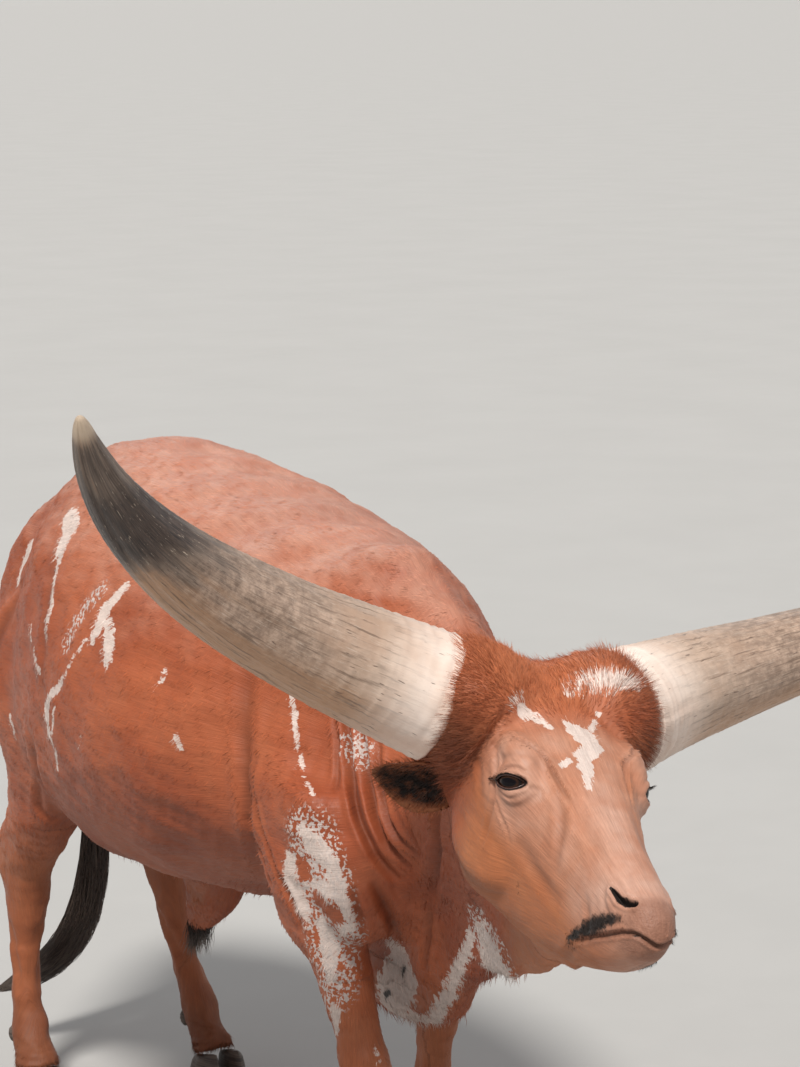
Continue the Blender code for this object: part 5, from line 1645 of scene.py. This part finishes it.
def scatter(shape: Shape, weight: Array, count: int, seed: int, extra: Array) -> tuple:
    """Spread points over a surface.

    Args:
        shape: The surface.
        weight: How thickly they grow at each of its points.
        count: How many.
        seed: Start of the random draw.
        extra: A number at each of the surface's points.

    Returns:
        The points, the normals and the extra number there.
    """
    rng = np.random.default_rng(seed)
    corners = shape.points[shape.triangles]
    area = np.linalg.norm(np.cross(corners[:, 1] - corners[:, 0], corners[:, 2] - corners[:, 0]), axis=1)
    total = np.cumsum(area * weight[shape.triangles].mean(1))
    spots = (np.arange(count) + rng.uniform(0, 1, count)) / count * total[-1]
    chosen = np.minimum(np.searchsorted(total, spots), len(total) - 1)
    first, second = rng.uniform(0, 1, (2, count))
    over = first + second > 1
    first[over], second[over] = 1 - first[over], 1 - second[over]
    share = np.column_stack([1 - first - second, first, second])
    facing = shape.normals()
    faces = shape.triangles[chosen]
    points = np.einsum("ij,ijk->ik", share, shape.points[faces])
    normals = unit(np.einsum("ij,ijk->ik", share, facing[faces]))
    return points, normals, (share * extra[faces]).sum(1)


def rooted(points: Array, normals: Array, crease: Array) -> Roots:
    """Roots at points of the skin, with all that the coat keeps there."""
    looks = Coloured(points, normals)
    tone = looks.tone()
    # Painted shade: hair in the creases is darkened.
    raise_column(tone, 2, 0.75 * crease)
    return Roots(points, normals, looks.flow(), looks.fur(), looks.marks(), tone, looks.lie(), looks.chart())


def dress_hair(made: Object, roots: Roots, per: int, chance: Array, along: Array) -> None:
    """Keep at each point of a piece of hair what the skin keeps at its root, and map it for baking.

    Args:
        made: The piece, its points in order root by root.
        roots: Where its hair grows.
        per: Points of each tuft or strand.
        chance: A number from 0 to 1 for each tuft.
        along: How far along its tuft each of the points of one tuft lies.
    """
    mesh = made.data
    count = len(chance)
    colour_rows(mesh, "marks", np.repeat(roots.marks, per, axis=0))
    colour_rows(mesh, "tone", np.repeat(roots.tone, per, axis=0))
    vector_rows(mesh, "lie", np.repeat(roots.lie, per, axis=0))
    strand = np.zeros((count, per, 4))
    strand[..., 0] = chance[:, None]
    strand[..., 1] = along
    strand[..., 3] = 1
    colour_rows(mesh, "strand", strand.reshape(-1, 4))
    spread = np.linspace(0, 2 * math.pi, per, endpoint=False)
    patch = 0.0015 * np.column_stack([np.cos(spread), np.sin(spread)])
    places = (roots.chart[:, None] + patch[None]).reshape(-1, 2)
    corners = np.empty(len(mesh.loops), np.int32)
    mesh.loops.foreach_get("vertex_index", corners)
    layer = mesh.uv_layers.new(name="OFBake")
    layer.data.foreach_set("uv", places[corners].astype(np.float32).ravel())


@dataclass
class ShortCoat:
    """Short flat tufts over the whole skin, in a few pieces.

    Attributes:
        length: Length of a tuft on the trunk.
        width: Its width.
        height: How high its ridge stands.
        depth: How deep its root lies in the skin.
        tilt: How far its long edges lean away, for the light.
    """

    length: float = 0.017
    width: float = 0.0017
    height: float = 0.0008
    depth: float = 0.0006
    tilt: float = 0.22

    def areas(self) -> list[tuple[str, str, int, object]]:
        """Name, material slot, number of tufts and test of place for each piece."""
        return [
            ("coat_head", "face_coat", 46000, lambda p, h: of_head(p, h, -0.04)),
            ("coat_neck", "body_coat", 32000, lambda p, h: (p[:, 1] < -0.42) & (p[:, 2] > 0.6)),
            ("coat_legs", "leg_coat", 26000, lambda p, h: p[:, 2] < 0.6),
            ("coat_trunk_right", "body_coat", 33000, lambda p, h: p[:, 0] < 0),
            ("coat_trunk_left", "body_coat", 33000, lambda p, h: p[:, 0] >= 0),
        ]

    def build(self, skin: Shape, crease: Array, paints: Palette) -> None:
        """Make every piece of the coat."""
        head = to_head(skin.points)
        taken = np.zeros(len(skin.points), bool)
        base = Coloured(skin.points, skin.normals()).fur()[:, 1]
        for i, (name, slot, whole, test) in enumerate(self.areas()):
            here = test(skin.points, head) & ~taken
            taken |= here
            count = whole // 1
            roots = rooted(*scatter(skin, base * here, count, 11 + i, crease))
            made = self.tufts(name, roots, paints.coat_tuft, 31 + i)

    def tufts(self, name: str, roots: Roots, material: Material, seed: int) -> Object:
        """One piece of tufts, each a low ridge that tapers to its tip."""
        rng = np.random.default_rng(seed)
        count = len(roots.points)
        size = roots.fur[:, :1]
        stray = rng.normal(0, 0.11, (count, 1))
        across = np.cross(roots.normals, roots.flow)
        along = unit(roots.flow + across * stray)
        across = np.cross(roots.normals, along)
        length = self.length * size * rng.uniform(0.65, 1.3, (count, 1))
        width = self.width * np.sqrt(size) * rng.uniform(0.7, 1.35, (count, 1))
        height = self.height * np.sqrt(size) * rng.uniform(0.6, 1.2, (count, 1))
        lift = height * rng.uniform(0.3, 1.3, (count, 1))
        base = roots.points - roots.normals * self.depth
        ridge = base + along * length * 0.38 + roots.normals * height * 1.5
        tip = base + along * length + roots.normals * lift + across * length * rng.normal(0, 0.06, (count, 1))
        corners = np.stack([base - across * width / 2, base + across * width / 2, ridge, tip], axis=1)
        start = 4 * np.arange(count)[:, None, None]
        faces = start + np.array([(0, 2, 1), (0, 3, 2), (1, 2, 3), (0, 1, 3)])[None]
        shape = Shape(corners.reshape(-1, 3), faces.reshape(-1, 3))
        made = piece(name, shape, material)
        tilt = across[:, None] * np.array([-self.tilt, self.tilt, 0.0, 0.0])[None, :, None]
        facing = unit(roots.normals[:, None] + tilt + rng.normal(0, 0.04, (count, 1, 3)))
        made.data.normals_split_custom_set_from_vertices(facing.reshape(-1, 3).tolist())
        dress_hair(made, roots, 4, rng.uniform(0, 1, count), np.array([0.0, 0.0, 0.4, 1.0]))
        return made


@dataclass
class Strands:
    """Long hair as bent prisms that taper to their tips.

    Attributes:
        rings: Rings along each strand.
        bend: Share of the way that it has turned to its drop at its tip.
        drop: Where long hair falls to.
        wave: Size of its waves as a share of its length.
    """

    rings: int = 6
    bend: float = 0.6
    drop: tuple = (0.0, 0.0, -1.0)
    wave: float = 0.04

    def courses(self, starts: Array, ways: Array, lengths: Array, rng: np.random.Generator) -> Array:
        """Points along every strand, from its root to its tip."""
        t = np.linspace(0, 1, self.rings)
        turn = (self.bend * t**1.2)[None, :, None]
        way = unit(ways[:, None] * (1 - turn) + np.array(self.drop) * turn)
        steps = np.concatenate([np.zeros((len(starts), 1, 3)), way[:, :-1]], axis=1)
        steps = steps * (lengths / (self.rings - 1))[:, None, None]
        course = starts[:, None] + np.cumsum(steps, axis=1)
        side = unit(np.cross(ways, rng.normal(size=ways.shape)))
        pace = rng.uniform(3, 7, (len(starts), 1))
        sway = np.sin(t[None] * pace + rng.uniform(0, 6.28, (len(starts), 1))) * t
        return course + side[:, None] * (sway * lengths[:, None] * self.wave)[..., None]

    def solid(self, course: Array, widths: Array) -> Shape:
        """Closed three-sided prisms round courses.

        Args:
            course: Strand by strand, point by point.
            widths: Width of each strand at its root.

        Returns:
            All strands as one shape, three points a ring and one at the tip.
        """
        count, rings = course.shape[:2]
        along = unit(np.gradient(course, axis=1))
        fixed = np.array((0.31, 0.87, 0.38))
        side = unit(np.cross(along, fixed))
        other = np.cross(along, side)
        t = np.linspace(0, 1, rings)
        taper = np.clip(1 - t**1.8, 0.04, 1)[None, :, None] * widths[:, None, None] / 2
        ring = [course + (side * math.cos(a) + other * math.sin(a) * 0.55) * taper for a in (0.5, 2.6, 4.7)]
        body = np.stack(ring, axis=2)[:, :-1].reshape(count, -1, 3)
        points = np.concatenate([body, course[:, -1:]], axis=1)
        faces = [(0, 1, 2)]
        for r in range(rings - 2):
            for k in range(3):
                a, b = 3 * r + k, 3 * r + (k + 1) % 3
                faces.extend([(a, a + 3, b), (b, a + 3, b + 3)])
        last = 3 * (rings - 2)
        faces.extend((last + k, 3 * (rings - 1), last + (k + 1) % 3) for k in range(3))
        start = points.shape[1] * np.arange(count)[:, None, None]
        return Shape(points.reshape(-1, 3), (start + np.array(faces)[None]).reshape(-1, 3))

    def build(self, name: str, roots: Roots, course: Array, widths: Array, material: Material,
              slot: str, seed: int) -> Object:
        """One piece of long hair."""
        rng = np.random.default_rng(seed)
        made = piece(name, self.solid(course, widths), material)
        t = np.append(np.repeat(np.linspace(0, 1, self.rings)[:-1], 3), 1.0)
        dress_hair(made, roots, len(t), rng.uniform(0, 1, len(course)), t)
        return made


@dataclass
class LongHair:
    """Shaggy hair at the horns and poll, in the ears, on the lips, below the throat and at the feet."""

    seed: int = 71
    in_ear: int = 1500

    def grow(self, name: str, skin: Shape, where: object, count: int, length: float, width: float,
             style: Strands, stand: float, material: Material, slot: str) -> None:
        """Grow one piece of long hair where a test says so.

        Args:
            name: Name of the piece.
            skin: Surface it grows from.
            where: How thickly it grows, from points, head points and normals.
            count: How many strands.
            length: Length of a strand.
            width: Its width.
            style: How it bends.
            stand: How far it stands off the skin, from 0 to 1.
            material: Its finish.
            slot: Its material slot; not used.
        """
        self.seed += 1
        rng = np.random.default_rng(self.seed)
        weight = where(skin.points, to_head(skin.points), skin.normals())
        count //= 1
        roots = rooted(*scatter(skin, weight, count, self.seed, 0 * weight))
        ways = unit(roots.flow + roots.normals * stand + rng.normal(0, 0.16, roots.flow.shape))
        lengths = length * rng.uniform(0.55, 1.25, len(ways))
        course = style.courses(roots.points - roots.normals * 0.002, ways, lengths, rng)
        course[..., 2] = np.maximum(course[..., 2], FLOOR_GAP)
        style.build(name, roots, course, width * rng.uniform(0.7, 1.3, len(ways)), material, slot, self.seed)

    def build(self, skin: Shape, paints: Palette) -> None:
        """Make every piece of it."""
        hug = Strands(4, 0.15, wave=0.05)
        hang = Strands(4, 0.75, (0.0, 0.05, -1.0), 0.06)
        coat = paints.coat_tuft
        rows = (
            ("horn_right", lambda p, h, n: self.horn_ring(p, h) * (h[:, 0] < 0),
             7000, 0.036, 0.0009, hug, 0.4, coat, "face_coat"),
            ("horn_left", lambda p, h, n: self.horn_ring(p, h) * (h[:, 0] > 0),
             7000, 0.036, 0.0009, hug, 0.4, coat, "face_coat"),
            ("poll", lambda p, h, n: blend(h[:, 1], 0.15, 0.09) * blend(h[:, 2], -0.05, 0.0)
             * blend(h[:, 1], -0.12, -0.06) * (p[:, 1] < -0.85),
             6000, 0.026, 0.001, hug, 0.35, coat, "face_coat"),
            ("dewlap", lambda p, h, n: self.strip(p, -1.0, -0.3, 0.16, 0.45) * blend(n[:, 2], -0.35, -0.85),
             2600, 0.026, 0.0011, hang, 0.35, coat, "body_coat"),
            ("belly", lambda p, h, n: self.strip(p, -0.3, 0.75, 0.2, 0.4) * blend(n[:, 2], -0.6, -0.95),
             1800, 0.022, 0.0011, hang, 0.25, coat, "body_coat"),
            ("sheath", lambda p, h, n: self.strip(p, 0.2, 0.5, 0.08, 0.38) * blend(p[:, 2], 0.47, 0.44),
             420, 0.06, 0.0012, hang, 0.3, paints.switch, "sheath_skin"),
            ("feet", lambda p, h, n: blend(p[:, 2], 0.095, 0.075) * (n[:, 2] > -0.8)
             + 0.5 * blend(p[:, 2], 0.2, 0.16) * blend(p[:, 2], 0.1, 0.13) * blend(n[:, 1], 0.3, 0.8),
             3600, 0.018, 0.0011, hang, 0.2, coat, "leg_coat"),
            ("lips", lambda p, h, n: self.lips(h) * (p[:, 1] < -1.2),
             900, 0.009, 0.0008, hug, 0.55, paints.lash, "face_coat"),
            ("legs", lambda p, h, n: blend(n[:, 1], 0.5, 0.9) * blend(p[:, 2], 0.3, 0.45)
             * blend(p[:, 2], 0.86, 0.7) * (p[:, 1] > -0.4),
             2200, 0.024, 0.0012, hang, 0.2, coat, "leg_coat"),
        )
        for name, *row in rows:
            self.grow(f"hair_{name}", skin, *row)

    @staticmethod
    def horn_ring(p: Array, h: Array) -> Array:
        """Where the fringe round the horns grows."""
        x = np.abs(h[:, 0])
        round_ = np.hypot(h[:, 1] - HORN_ROOT[1], h[:, 2] - HORN_ROOT[2])
        return blend(x, 0.085, 0.12) * blend(x, 0.235, 0.2) * blend(round_, 0.15, 0.12) * (p[:, 1] < -0.85)

    @staticmethod
    def strip(p: Array, front: float, back: float, half: float, low: float) -> Array:
        """Which points lie in a band along the middle of the body, above a height."""
        return (p[:, 1] > front) & (p[:, 1] < back) & (np.abs(p[:, 0]) < half) & (p[:, 2] > low)

    @staticmethod
    def lips(h: Array) -> Array:
        """Where the dark patches of the lips and chin grow."""
        dark = [b.strength(h) for b in HEAD_BLOTCHES if b.mark is Mark.DARK and not b.both]
        return np.max(dark, axis=0)

    def in_ears(self, paints: Palette) -> None:
        """Hair inside and along the rims of both ears."""
        for side, word in SIDES:
            ear, inside = Ears().build(side)
            rng = np.random.default_rng(90 + side)
            count = self.in_ear // 1
            points, normals, deep = scatter(ear, 0.25 + inside, count, 95 + side, inside)
            roots = rooted(points, normals, 0 * deep)
            out = unit(points - from_head((side * 0.1, 0.045, -0.165)))
            ways = unit(out + normals * 0.55 + rng.normal(0, 0.25, out.shape))
            lengths = 0.02 * rng.uniform(0.5, 1.3, len(out))
            style = Strands(4, 0.35)
            course = style.courses(points - normals * 0.0008, ways, lengths, rng)
            roots.tone[:, 0] = 0.45
            roots.marks[:, 3] = 0.75 * deep
            widths = 0.0009 * rng.uniform(0.7, 1.3, len(out))
            style.build(f"hair_ear_{word}", roots, course, widths, paints.coat_tuft, "ear_coat", 97 + side)


@dataclass
class Switch:
    """The dark switch of the tail, swung to one side at its end.

    Attributes:
        line: Its middle line and half width.
        strands: How many strands it has.
        rings: Points along each strand.
        lowest: Least height of its strands.
    """

    line: tuple = (
        (0.062, 1.1, 0.66, 0.014), (0.08, 1.1, 0.56, 0.022), (0.088, 1.1, 0.47, 0.027),
        (0.08, 1.1, 0.37, 0.032), (0.052, 1.1, 0.27, 0.036), (0.0, 1.1, 0.2, 0.034),
        (-0.07, 1.1, 0.16, 0.026), (-0.15, 1.1, 0.138, 0.006),
    )
    strands: int = 2500
    rings: int = 8
    lowest: float = 0.115

    def build(self, paints: Palette) -> None:
        """Make the core and the hair over it."""
        rows = smooth_rows(self.line, 8)
        core = tube(rows[:, :3], rows[:, 3] * 0.45, 16)
        made = piece("tail_core", core, paints.switch)
        self.mark_core(made)
        count = self.strands // 1
        rng = np.random.default_rng(43)
        start = rng.beta(1.0, 1.5, count) * 0.7
        length = np.minimum(rng.uniform(0.3, 0.62, count), 1.04 - start)
        turn = rng.uniform(0, 2 * math.pi, count)
        share = np.linspace(0, 1, len(rows))
        t = np.linspace(0, 1, self.rings)
        where = np.clip(start[:, None] + length[:, None] * t, 0, 1.0)

        def middle(spots: Array) -> Array:
            """Points on the middle line."""
            return np.stack([np.interp(spots, share, rows[:, k]) for k in range(3)], axis=-1)

        centre = middle(where)
        half = np.interp(where, share, rows[:, 3])
        along = unit(middle(np.clip(where + 0.02, 0, 1)) - middle(np.clip(where - 0.02, 0, 1)))
        across = unit(np.cross(np.array((0.0, 1.0, 0.0)), along))
        up = np.cross(along, across)
        angle = turn[:, None] + 0.9 * t * rng.normal(0, 1, (count, 1)) + 0.25 * np.sin(6 * t + turn[:, None])
        spread = rng.uniform(0.35, 1.05, (count, 1)) * (0.42 + 0.62 * np.minimum(1, 2.5 * t))
        out = across * np.cos(angle)[..., None] + up * np.sin(angle)[..., None]
        course = centre + out * (half * spread)[..., None]
        course[..., 2] = np.maximum(course[..., 2], self.lowest)
        points = course[:, 0]
        roots = rooted(points, out[:, 0], np.zeros(count))
        hair = Strands(self.rings)
        widths = 0.0021 * rng.uniform(0.6, 1.3, count)
        made = hair.build("tail_switch_hair", roots, course, widths, paints.switch, "switch_hair", 47)
        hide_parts("tail_switch")

    @staticmethod
    def mark_core(made: Object) -> None:
        """Keep the numbers that its finish reads on the core."""
        rows = np.tile((0.2, 0.2, 0.0, 1.0), (len(made.data.vertices), 1))
        colour_rows(made.data, "strand", rows)


@dataclass
class Horn:
    """One great horn, rising and sweeping from its root.

    Attributes:
        side: -1 for the right horn and 1 for the left one.
        word: Name of the side.
        length: Length along its middle.
        radius: Radius at its root.
        taper: Share of the radius that is lost along it.
        tip_power: How suddenly it closes at its tip.
        rise: Angle over the level at the root, and how it grows along the horn, in degrees.
        sweep: Angle to the back at the root, and how it grows along the horn, in degrees.
        tilt: How much less the one horn rises and sweeps than the other, in degrees.
        end: Share of the length where its tip closes.
        steps: Stretches of its middle line.
        fine: Rings for each stretch.
        sides: Points round each ring.
        furrow: Depth of the furrows along it.
        ring: Height of its growth rings.
        dent: Depth of its dents.
        seam: Depth of the one long seam.
    """

    side: int
    word: str
    length: float = 0.878
    radius: float = 0.1026
    taper: float = 0.597
    tip_power: float = 3.57
    rise: tuple = (6.65, 21.2, 27.4)
    sweep: tuple = (-23.4, 46.6)
    tilt: tuple = (3.44, 8.8)
    end: float = 0.998
    steps: int = 18
    fine: int = 8
    sides: int = 84
    furrow: float = 0.004
    ring: float = 0.00045
    dent: float = 0.0016
    seam: float = 0.0018

    def centres(self) -> tuple[Array, Array]:
        """Middle of the horn at every station, and its direction there."""
        places = [np.array(HORN_ROOT) * (self.side, -1, 1)]
        for i in range(1, self.steps + 1):
            m = (i - 0.5) / self.steps
            start, slope, bend = self.rise
            rise = math.radians(start - self.side * self.tilt[0] + slope * m + bend * m**2)
            sweep = math.radians(self.sweep[0] - self.side * self.tilt[1] + self.sweep[1] * m)
            level = np.array((self.side * math.cos(sweep), -math.sin(sweep), 0.0))
            along = level * math.cos(rise) + np.array((0.0, 0.0, math.sin(rise)))
            places.append(places[-1] + along * self.length / self.steps)
        rows = smooth_rows(places, self.fine)
        return rows, unit(np.gradient(rows, axis=0))

    def build(self, paints: Palette) -> None:
        """Make the horn with its growth rings, furrows and dents."""
        centre, along = self.centres()
        share = np.linspace(0, 1, len(centre))
        s = np.minimum(share, self.end)
        radius = self.radius * (1 - self.taper * s) * np.sqrt(np.maximum(1 - s**self.tip_power, 0.0))
        across = unit(np.array((0.0, 1.0, 0.0)) - along * along[:, 1:2])
        up = np.cross(across, along)
        turn = 2 * math.pi * np.arange(self.sides) / self.sides
        rng = np.random.default_rng(60 + self.side)
        fade = np.clip(radius / 0.03, 0, 1)[:, None]
        wall = np.zeros((len(share), self.sides))
        for _ in range(14):
            count, phase, drift = rng.integers(3, 34), rng.uniform(0, 6.28), rng.uniform(-5, 5)
            wall += self.furrow / count * np.sin(count * turn[None] + phase + drift * share[:, None])
        for _ in range(10):
            pitch, phase = rng.uniform(26, 90), rng.uniform(0, 6.28)
            lean = rng.integers(-1, 2)
            near_base = np.exp(-share / 0.16)[:, None] + 0.15
            wall += self.ring * near_base * np.sin(pitch * share[:, None] * 6.28 + lean * turn[None] + phase)
        for _ in range(16):
            at, where, wide = rng.uniform(0.03, 0.9), rng.uniform(0, 6.28), rng.uniform(0.012, 0.05)
            off = np.angle(np.exp(1j * (turn[None] - where))) * 0.09
            wall -= self.dent * np.exp(-(((share[:, None] - at) * 0.9) ** 2 + (off * 1.3) ** 2) / wide**2)
        seam = np.angle(np.exp(1j * (turn[None] + 1.15)))
        wall -= self.seam * np.exp(-((seam / 0.05) ** 2)) * np.clip(share[:, None] * 6, 0, 1)
        out = across[:, None] * np.cos(turn)[None, :, None] + up[:, None] * np.sin(turn)[None, :, None]
        size = radius[:, None] + (wall - 0.0015) * fade
        rings = centre[:, None] + out * np.maximum(size, 0.0004)[..., None]
        shape = over_rings(carried(rings))
        made = piece(f"horn_sheath_{self.word}", shape, paints.horn)
        normals = shape.normals()
        under = np.clip(-normals[:, 2], 0, 1)
        along_share = np.append(np.repeat(share, self.sides), [0.0, 1.0])
        dark = self.darkness(along_share, normals)
        tip = blend(along_share, 0.935, 0.985)
        colour_rows(made.data, "growth", np.column_stack([along_share, under, dark, tip]))
        angle = np.append(np.tile(turn, len(share)), [0.0, 0.0])
        folded = np.abs(np.angle(np.exp(1j * (angle - 1.9))))
        lie = np.column_stack([folded * 0.09, along_share * self.length, np.full(len(angle), self.side)])
        vector_rows(made.data, "lie", lie)
        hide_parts(f"horn_{self.word}")

    def darkness(self, share: Array, normals: Array) -> Array:
        """How dark the horn is: the outer third, most on its upper and front side."""
        top = np.clip(normals[:, 2], -1, 1)
        band = blend(share, 0.5 - 0.14 * top, 0.72 - 0.04 * top) * blend(share, 0.985, 0.93)
        far = 1 - 0.4 * blend(share, 0.76, 0.9) - 0.3 * np.clip(top, 0, 1)
        return np.clip(band * far * (1.0 if self.side < 0 else 0.85), 0, 1)


@dataclass
class Eye:
    """One eye: its ball, the wet edges of its lids and its lashes.

    Attributes:
        side: -1 for the right eye and 1 for the left one.
        word: Name of the side.
        rings: Rings of the ball.
        radius: Radius of the ball.
        bulge: How far its front stands out.
    """

    side: int
    word: str
    rings: int = 40
    radius: float = 0.027
    bulge: float = 0.001

    def build(self, paints: Palette) -> None:
        """Make the ball, lid edges and lashes."""
        shape = ball((0, 0, 0), (self.radius,) * 3, np.eye(3), self.rings)
        gaze = unit(shape.points)
        cap = blend(gaze[:, 2], 0.8, 1.0)
        local = shape.points + gaze * (self.bulge * cap)[:, None]
        shape = Shape(from_eye(local, self.side), shape.triangles)
        made = piece(f"eyeball_{self.word}", outward(shape), paints.eye)
        around = np.arccos(np.clip(gaze[:, 2], -1, 1))
        level = np.hypot(gaze[:, 0] * 0.75, gaze[:, 1] * 1.5)
        colour_rows(made.data, "gaze", np.column_stack([around, level, 0 * around, 0 * around + 1]))
        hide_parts(f"eye_{self.word}")
        self.lids(paints)
        self.lashes(paints)

    def edge(self, upper: bool, count: int, out: float = 0.0) -> Array:
        """Points along the edge of one lid, in the frame of the eye."""
        half, up, down = OPENING
        u = np.linspace(-1, 1, count)
        lift = (up if upper else -down) * np.maximum(1 - u**2, 0) ** 0.7
        along = u * half
        rise = np.sqrt(LID_RADIUS**2 - along**2 - lift**2) + out
        return np.column_stack([along, lift, rise])

    def lids(self, paints: Palette) -> None:
        """The rolled dark edges of both lids."""
        shapes = []
        for upper in (True, False):
            course = from_eye(self.edge(upper, 41, -0.0008), self.side)
            spots, radii = (0, 0.12, 0.5, 0.88, 1), (0.0007, 0.0012, 0.0014, 0.0012, 0.0007)
            size = np.interp(np.linspace(0, 1, 41), spots, radii) * (1.0 if upper else 0.75)
            shapes.append(tube(course, size, 10))
        made = piece(f"lid_edge_{self.word}", merged(shapes), paints.lid)

    def lashes(self, paints: Palette) -> None:
        """Lashes, long on the upper lid and short on the lower one."""
        rng = np.random.default_rng(80 + self.side)
        points, ways, lengths = [], [], []
        for upper, count, size in ((True, 90, 0.011), (False, 30, 0.005)):
            edge = self.edge(upper, count)[3:-3]
            lean = np.tile((0.0, 0.75 if upper else -0.5, 1.0), (len(edge), 1))
            lean[:, 0] = edge[:, 0] * 18
            lean = lean + rng.normal(0, 0.12, lean.shape)
            points.append(edge)
            ways.append(lean)
            lengths.append(size * rng.uniform(0.6, 1.15, len(edge)))
        starts = from_eye(np.vstack(points), self.side)
        ways = unit(np.vstack(ways)) @ np.array(eye_frame(self.side))[:3, :3].T
        style = Strands(5, 0.45, (0.0, -0.6, -0.6), 0.02)
        course = style.courses(starts, ways, np.concatenate(lengths), rng)
        roots = rooted(starts, ways, np.zeros(len(starts)))
        widths = np.full(len(starts), 0.00055)
        style.build(f"lashes_{self.word}", roots, course, widths, paints.lash, "face_coat", 85)


@dataclass
class Hooves:
    """Claws and dewclaws of every foot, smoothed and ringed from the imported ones.

    Attributes:
        levels: How many times their faces are split.
    """

    levels: int = 2

    def build(self, paints: Palette) -> None:
        """Make a finer claw for each packed one."""
        for leg in LEGS:
            for part in ("claw", "dewclaw"):
                for word in ("left", "right"):
                    self.claw(f"{leg}_{part}_{word}", paints)

    def claw(self, name: str, paints: Palette) -> None:
        """One claw: edges kept at the ground, rounded above, with rings of growth."""
        work = bmesh.new()
        work.from_mesh(as_mesh(name, node_shape(name)))
        bmesh.ops.dissolve_limit(work, angle_limit=0.02, verts=work.verts, edges=work.edges)
        for _ in range(self.levels):
            bmesh.ops.triangulate(work, faces=work.faces)
            bmesh.ops.subdivide_edges(work, edges=work.edges, cuts=1, use_grid_fill=True)
        shape = as_shape(work)
        height = shape.points[:, 2]
        held = blend(height, height.min() + 0.001, height.min() + 0.006)
        shape.relax(held, 10)
        rise = shape.points[:, 2]
        ring = 0.0004 * np.sin(rise * 900 + 6 * np.sin(shape.points[:, 1] * 60))
        ring = ring + 0.0003 * np.sin(rise * 2100)
        shape.points = shape.points + shape.normals() * (ring * held)[:, None]
        made = piece(f"{name}_horn", shape, paints.hoof)
        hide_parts(name)


# Studio


@dataclass
class Studio:
    """Floor, soft lights and the camera.

    Attributes:
        eye: Place of the camera in the animal's frame.
        right: The way of the picture's right side.
        up: The way of its top.
        back: The way from the animal to the camera.
        focal_pixels: Focal length in pixels of the photograph.
        picture_height: Height of the photograph in pixels.
        sensor: Height of the sensor in millimetres.
        floor_size: Half the length of the floor.
        floor_rim: Where the floor's far rim begins, which is raised to close the horizon.
        rim_height: How high that rim is raised.
    """

    eye: tuple = (-2.72994582, -5.11341345, 2.24526578)
    right: tuple = (0.864748794, -0.5021127483, -0.0096078743)
    up: tuple = (0.0909972272, 0.1378452046, 0.9862647739)
    back: tuple = (-0.4938917168, -0.8537455637, 0.1648923422)
    focal_pixels: float = 3200.0
    picture_height: float = 1067.0
    sensor: float = 36.0
    floor_size: float = 2400.0
    floor_rim: float = 2000.0
    rim_height: float = 15.0

    def build(self) -> None:
        """Set up everything round the animal."""
        self.camera()
        self.floor()
        self.lights()

    def camera(self) -> None:
        """The camera at the angle of the photograph."""
        data = bpy.data.cameras.new("camera")
        data.sensor_fit = "VERTICAL"
        data.sensor_height = self.sensor
        data.lens = self.focal_pixels * self.sensor / self.picture_height
        data.clip_end = 5000.0
        made = linked("camera", data)
        turn = Matrix((self.right, self.up, self.back)).transposed().to_4x4()
        turn.translation = Vector(np.array(self.eye) + ANCHOR)
        made.matrix_world = turn
        bpy.context.scene.camera = made

    def floor(self) -> None:
        """A large pale floor."""
        work = bmesh.new()
        bmesh.ops.create_grid(work, x_segments=8, y_segments=8, size=self.floor_size)
        for vert in work.verts:
            vert.co.z = self.rim_height if max(abs(vert.co.x), abs(vert.co.y)) > self.floor_rim else 0.0
        mesh = bpy.data.meshes.new("floor")
        work.to_mesh(mesh)
        work.free()
        made = linked("floor", mesh)
        finish = Finish("floor_pale", (("Specular IOR Level", 0.2),), 0.0002)
        mesh.materials.append(finish.mottled((0.395, 0.39, 0.38), (0.41, 0.405, 0.395), 1.4, (0.75, 0.9)))

    def lights(self) -> None:
        """A broad soft key from the upper left, a weak fill from the right and an even sky."""
        plan = (
            ("key", (-0.5, -0.48, 1.0), 3.7, 0.2, (1.0, 0.97, 0.92)),
            ("fill", (0.8, -0.5, 0.5), 0.28, 0.9, (0.92, 0.96, 1.0)),
            ("rim", (0.3, 0.9, 0.7), 0.55, 0.5, (1.0, 0.98, 0.96)),
        )
        for name, source, power, width, colour in plan:
            data = bpy.data.lights.new(name, "SUN")
            data.energy = power
            data.angle = width
            data.color = colour
            made = linked(name, data)
            made.rotation_euler = Vector(source).to_track_quat("Z", "Y").to_euler()
        world = bpy.data.worlds.new("sky")
        world.use_nodes = True
        sky = world.node_tree.nodes["Background"]
        sky.inputs["Color"].default_value = (0.98, 0.98, 1.0, 1)
        sky.inputs["Strength"].default_value = 0.42
        bpy.context.scene.world = world
        bpy.context.scene.view_settings.view_transform = "Standard"


def main() -> None:
    """Build the animal piece by piece."""
    logging.basicConfig(level=logging.INFO, format="%(name)s %(message)s")
    Studio().build()
    paints = Palette()
    paints.mix_paints()
    skin = Skin()
    skin.grow()
    skin.settle()
    skin.sculpt()
    dress_skin(skin, paints)
    for side, word in SIDES:
        Horn(side, word).build(paints)
        Eye(side, word).build(paints)
    Hooves().build(paints)
    Switch().build(paints)
    ShortCoat().build(skin.shape, skin.crease, paints)
    hair = LongHair()
    hair.build(skin.shape, paints)
    hair.in_ears(paints)


if __name__ == "__main__":
    main()
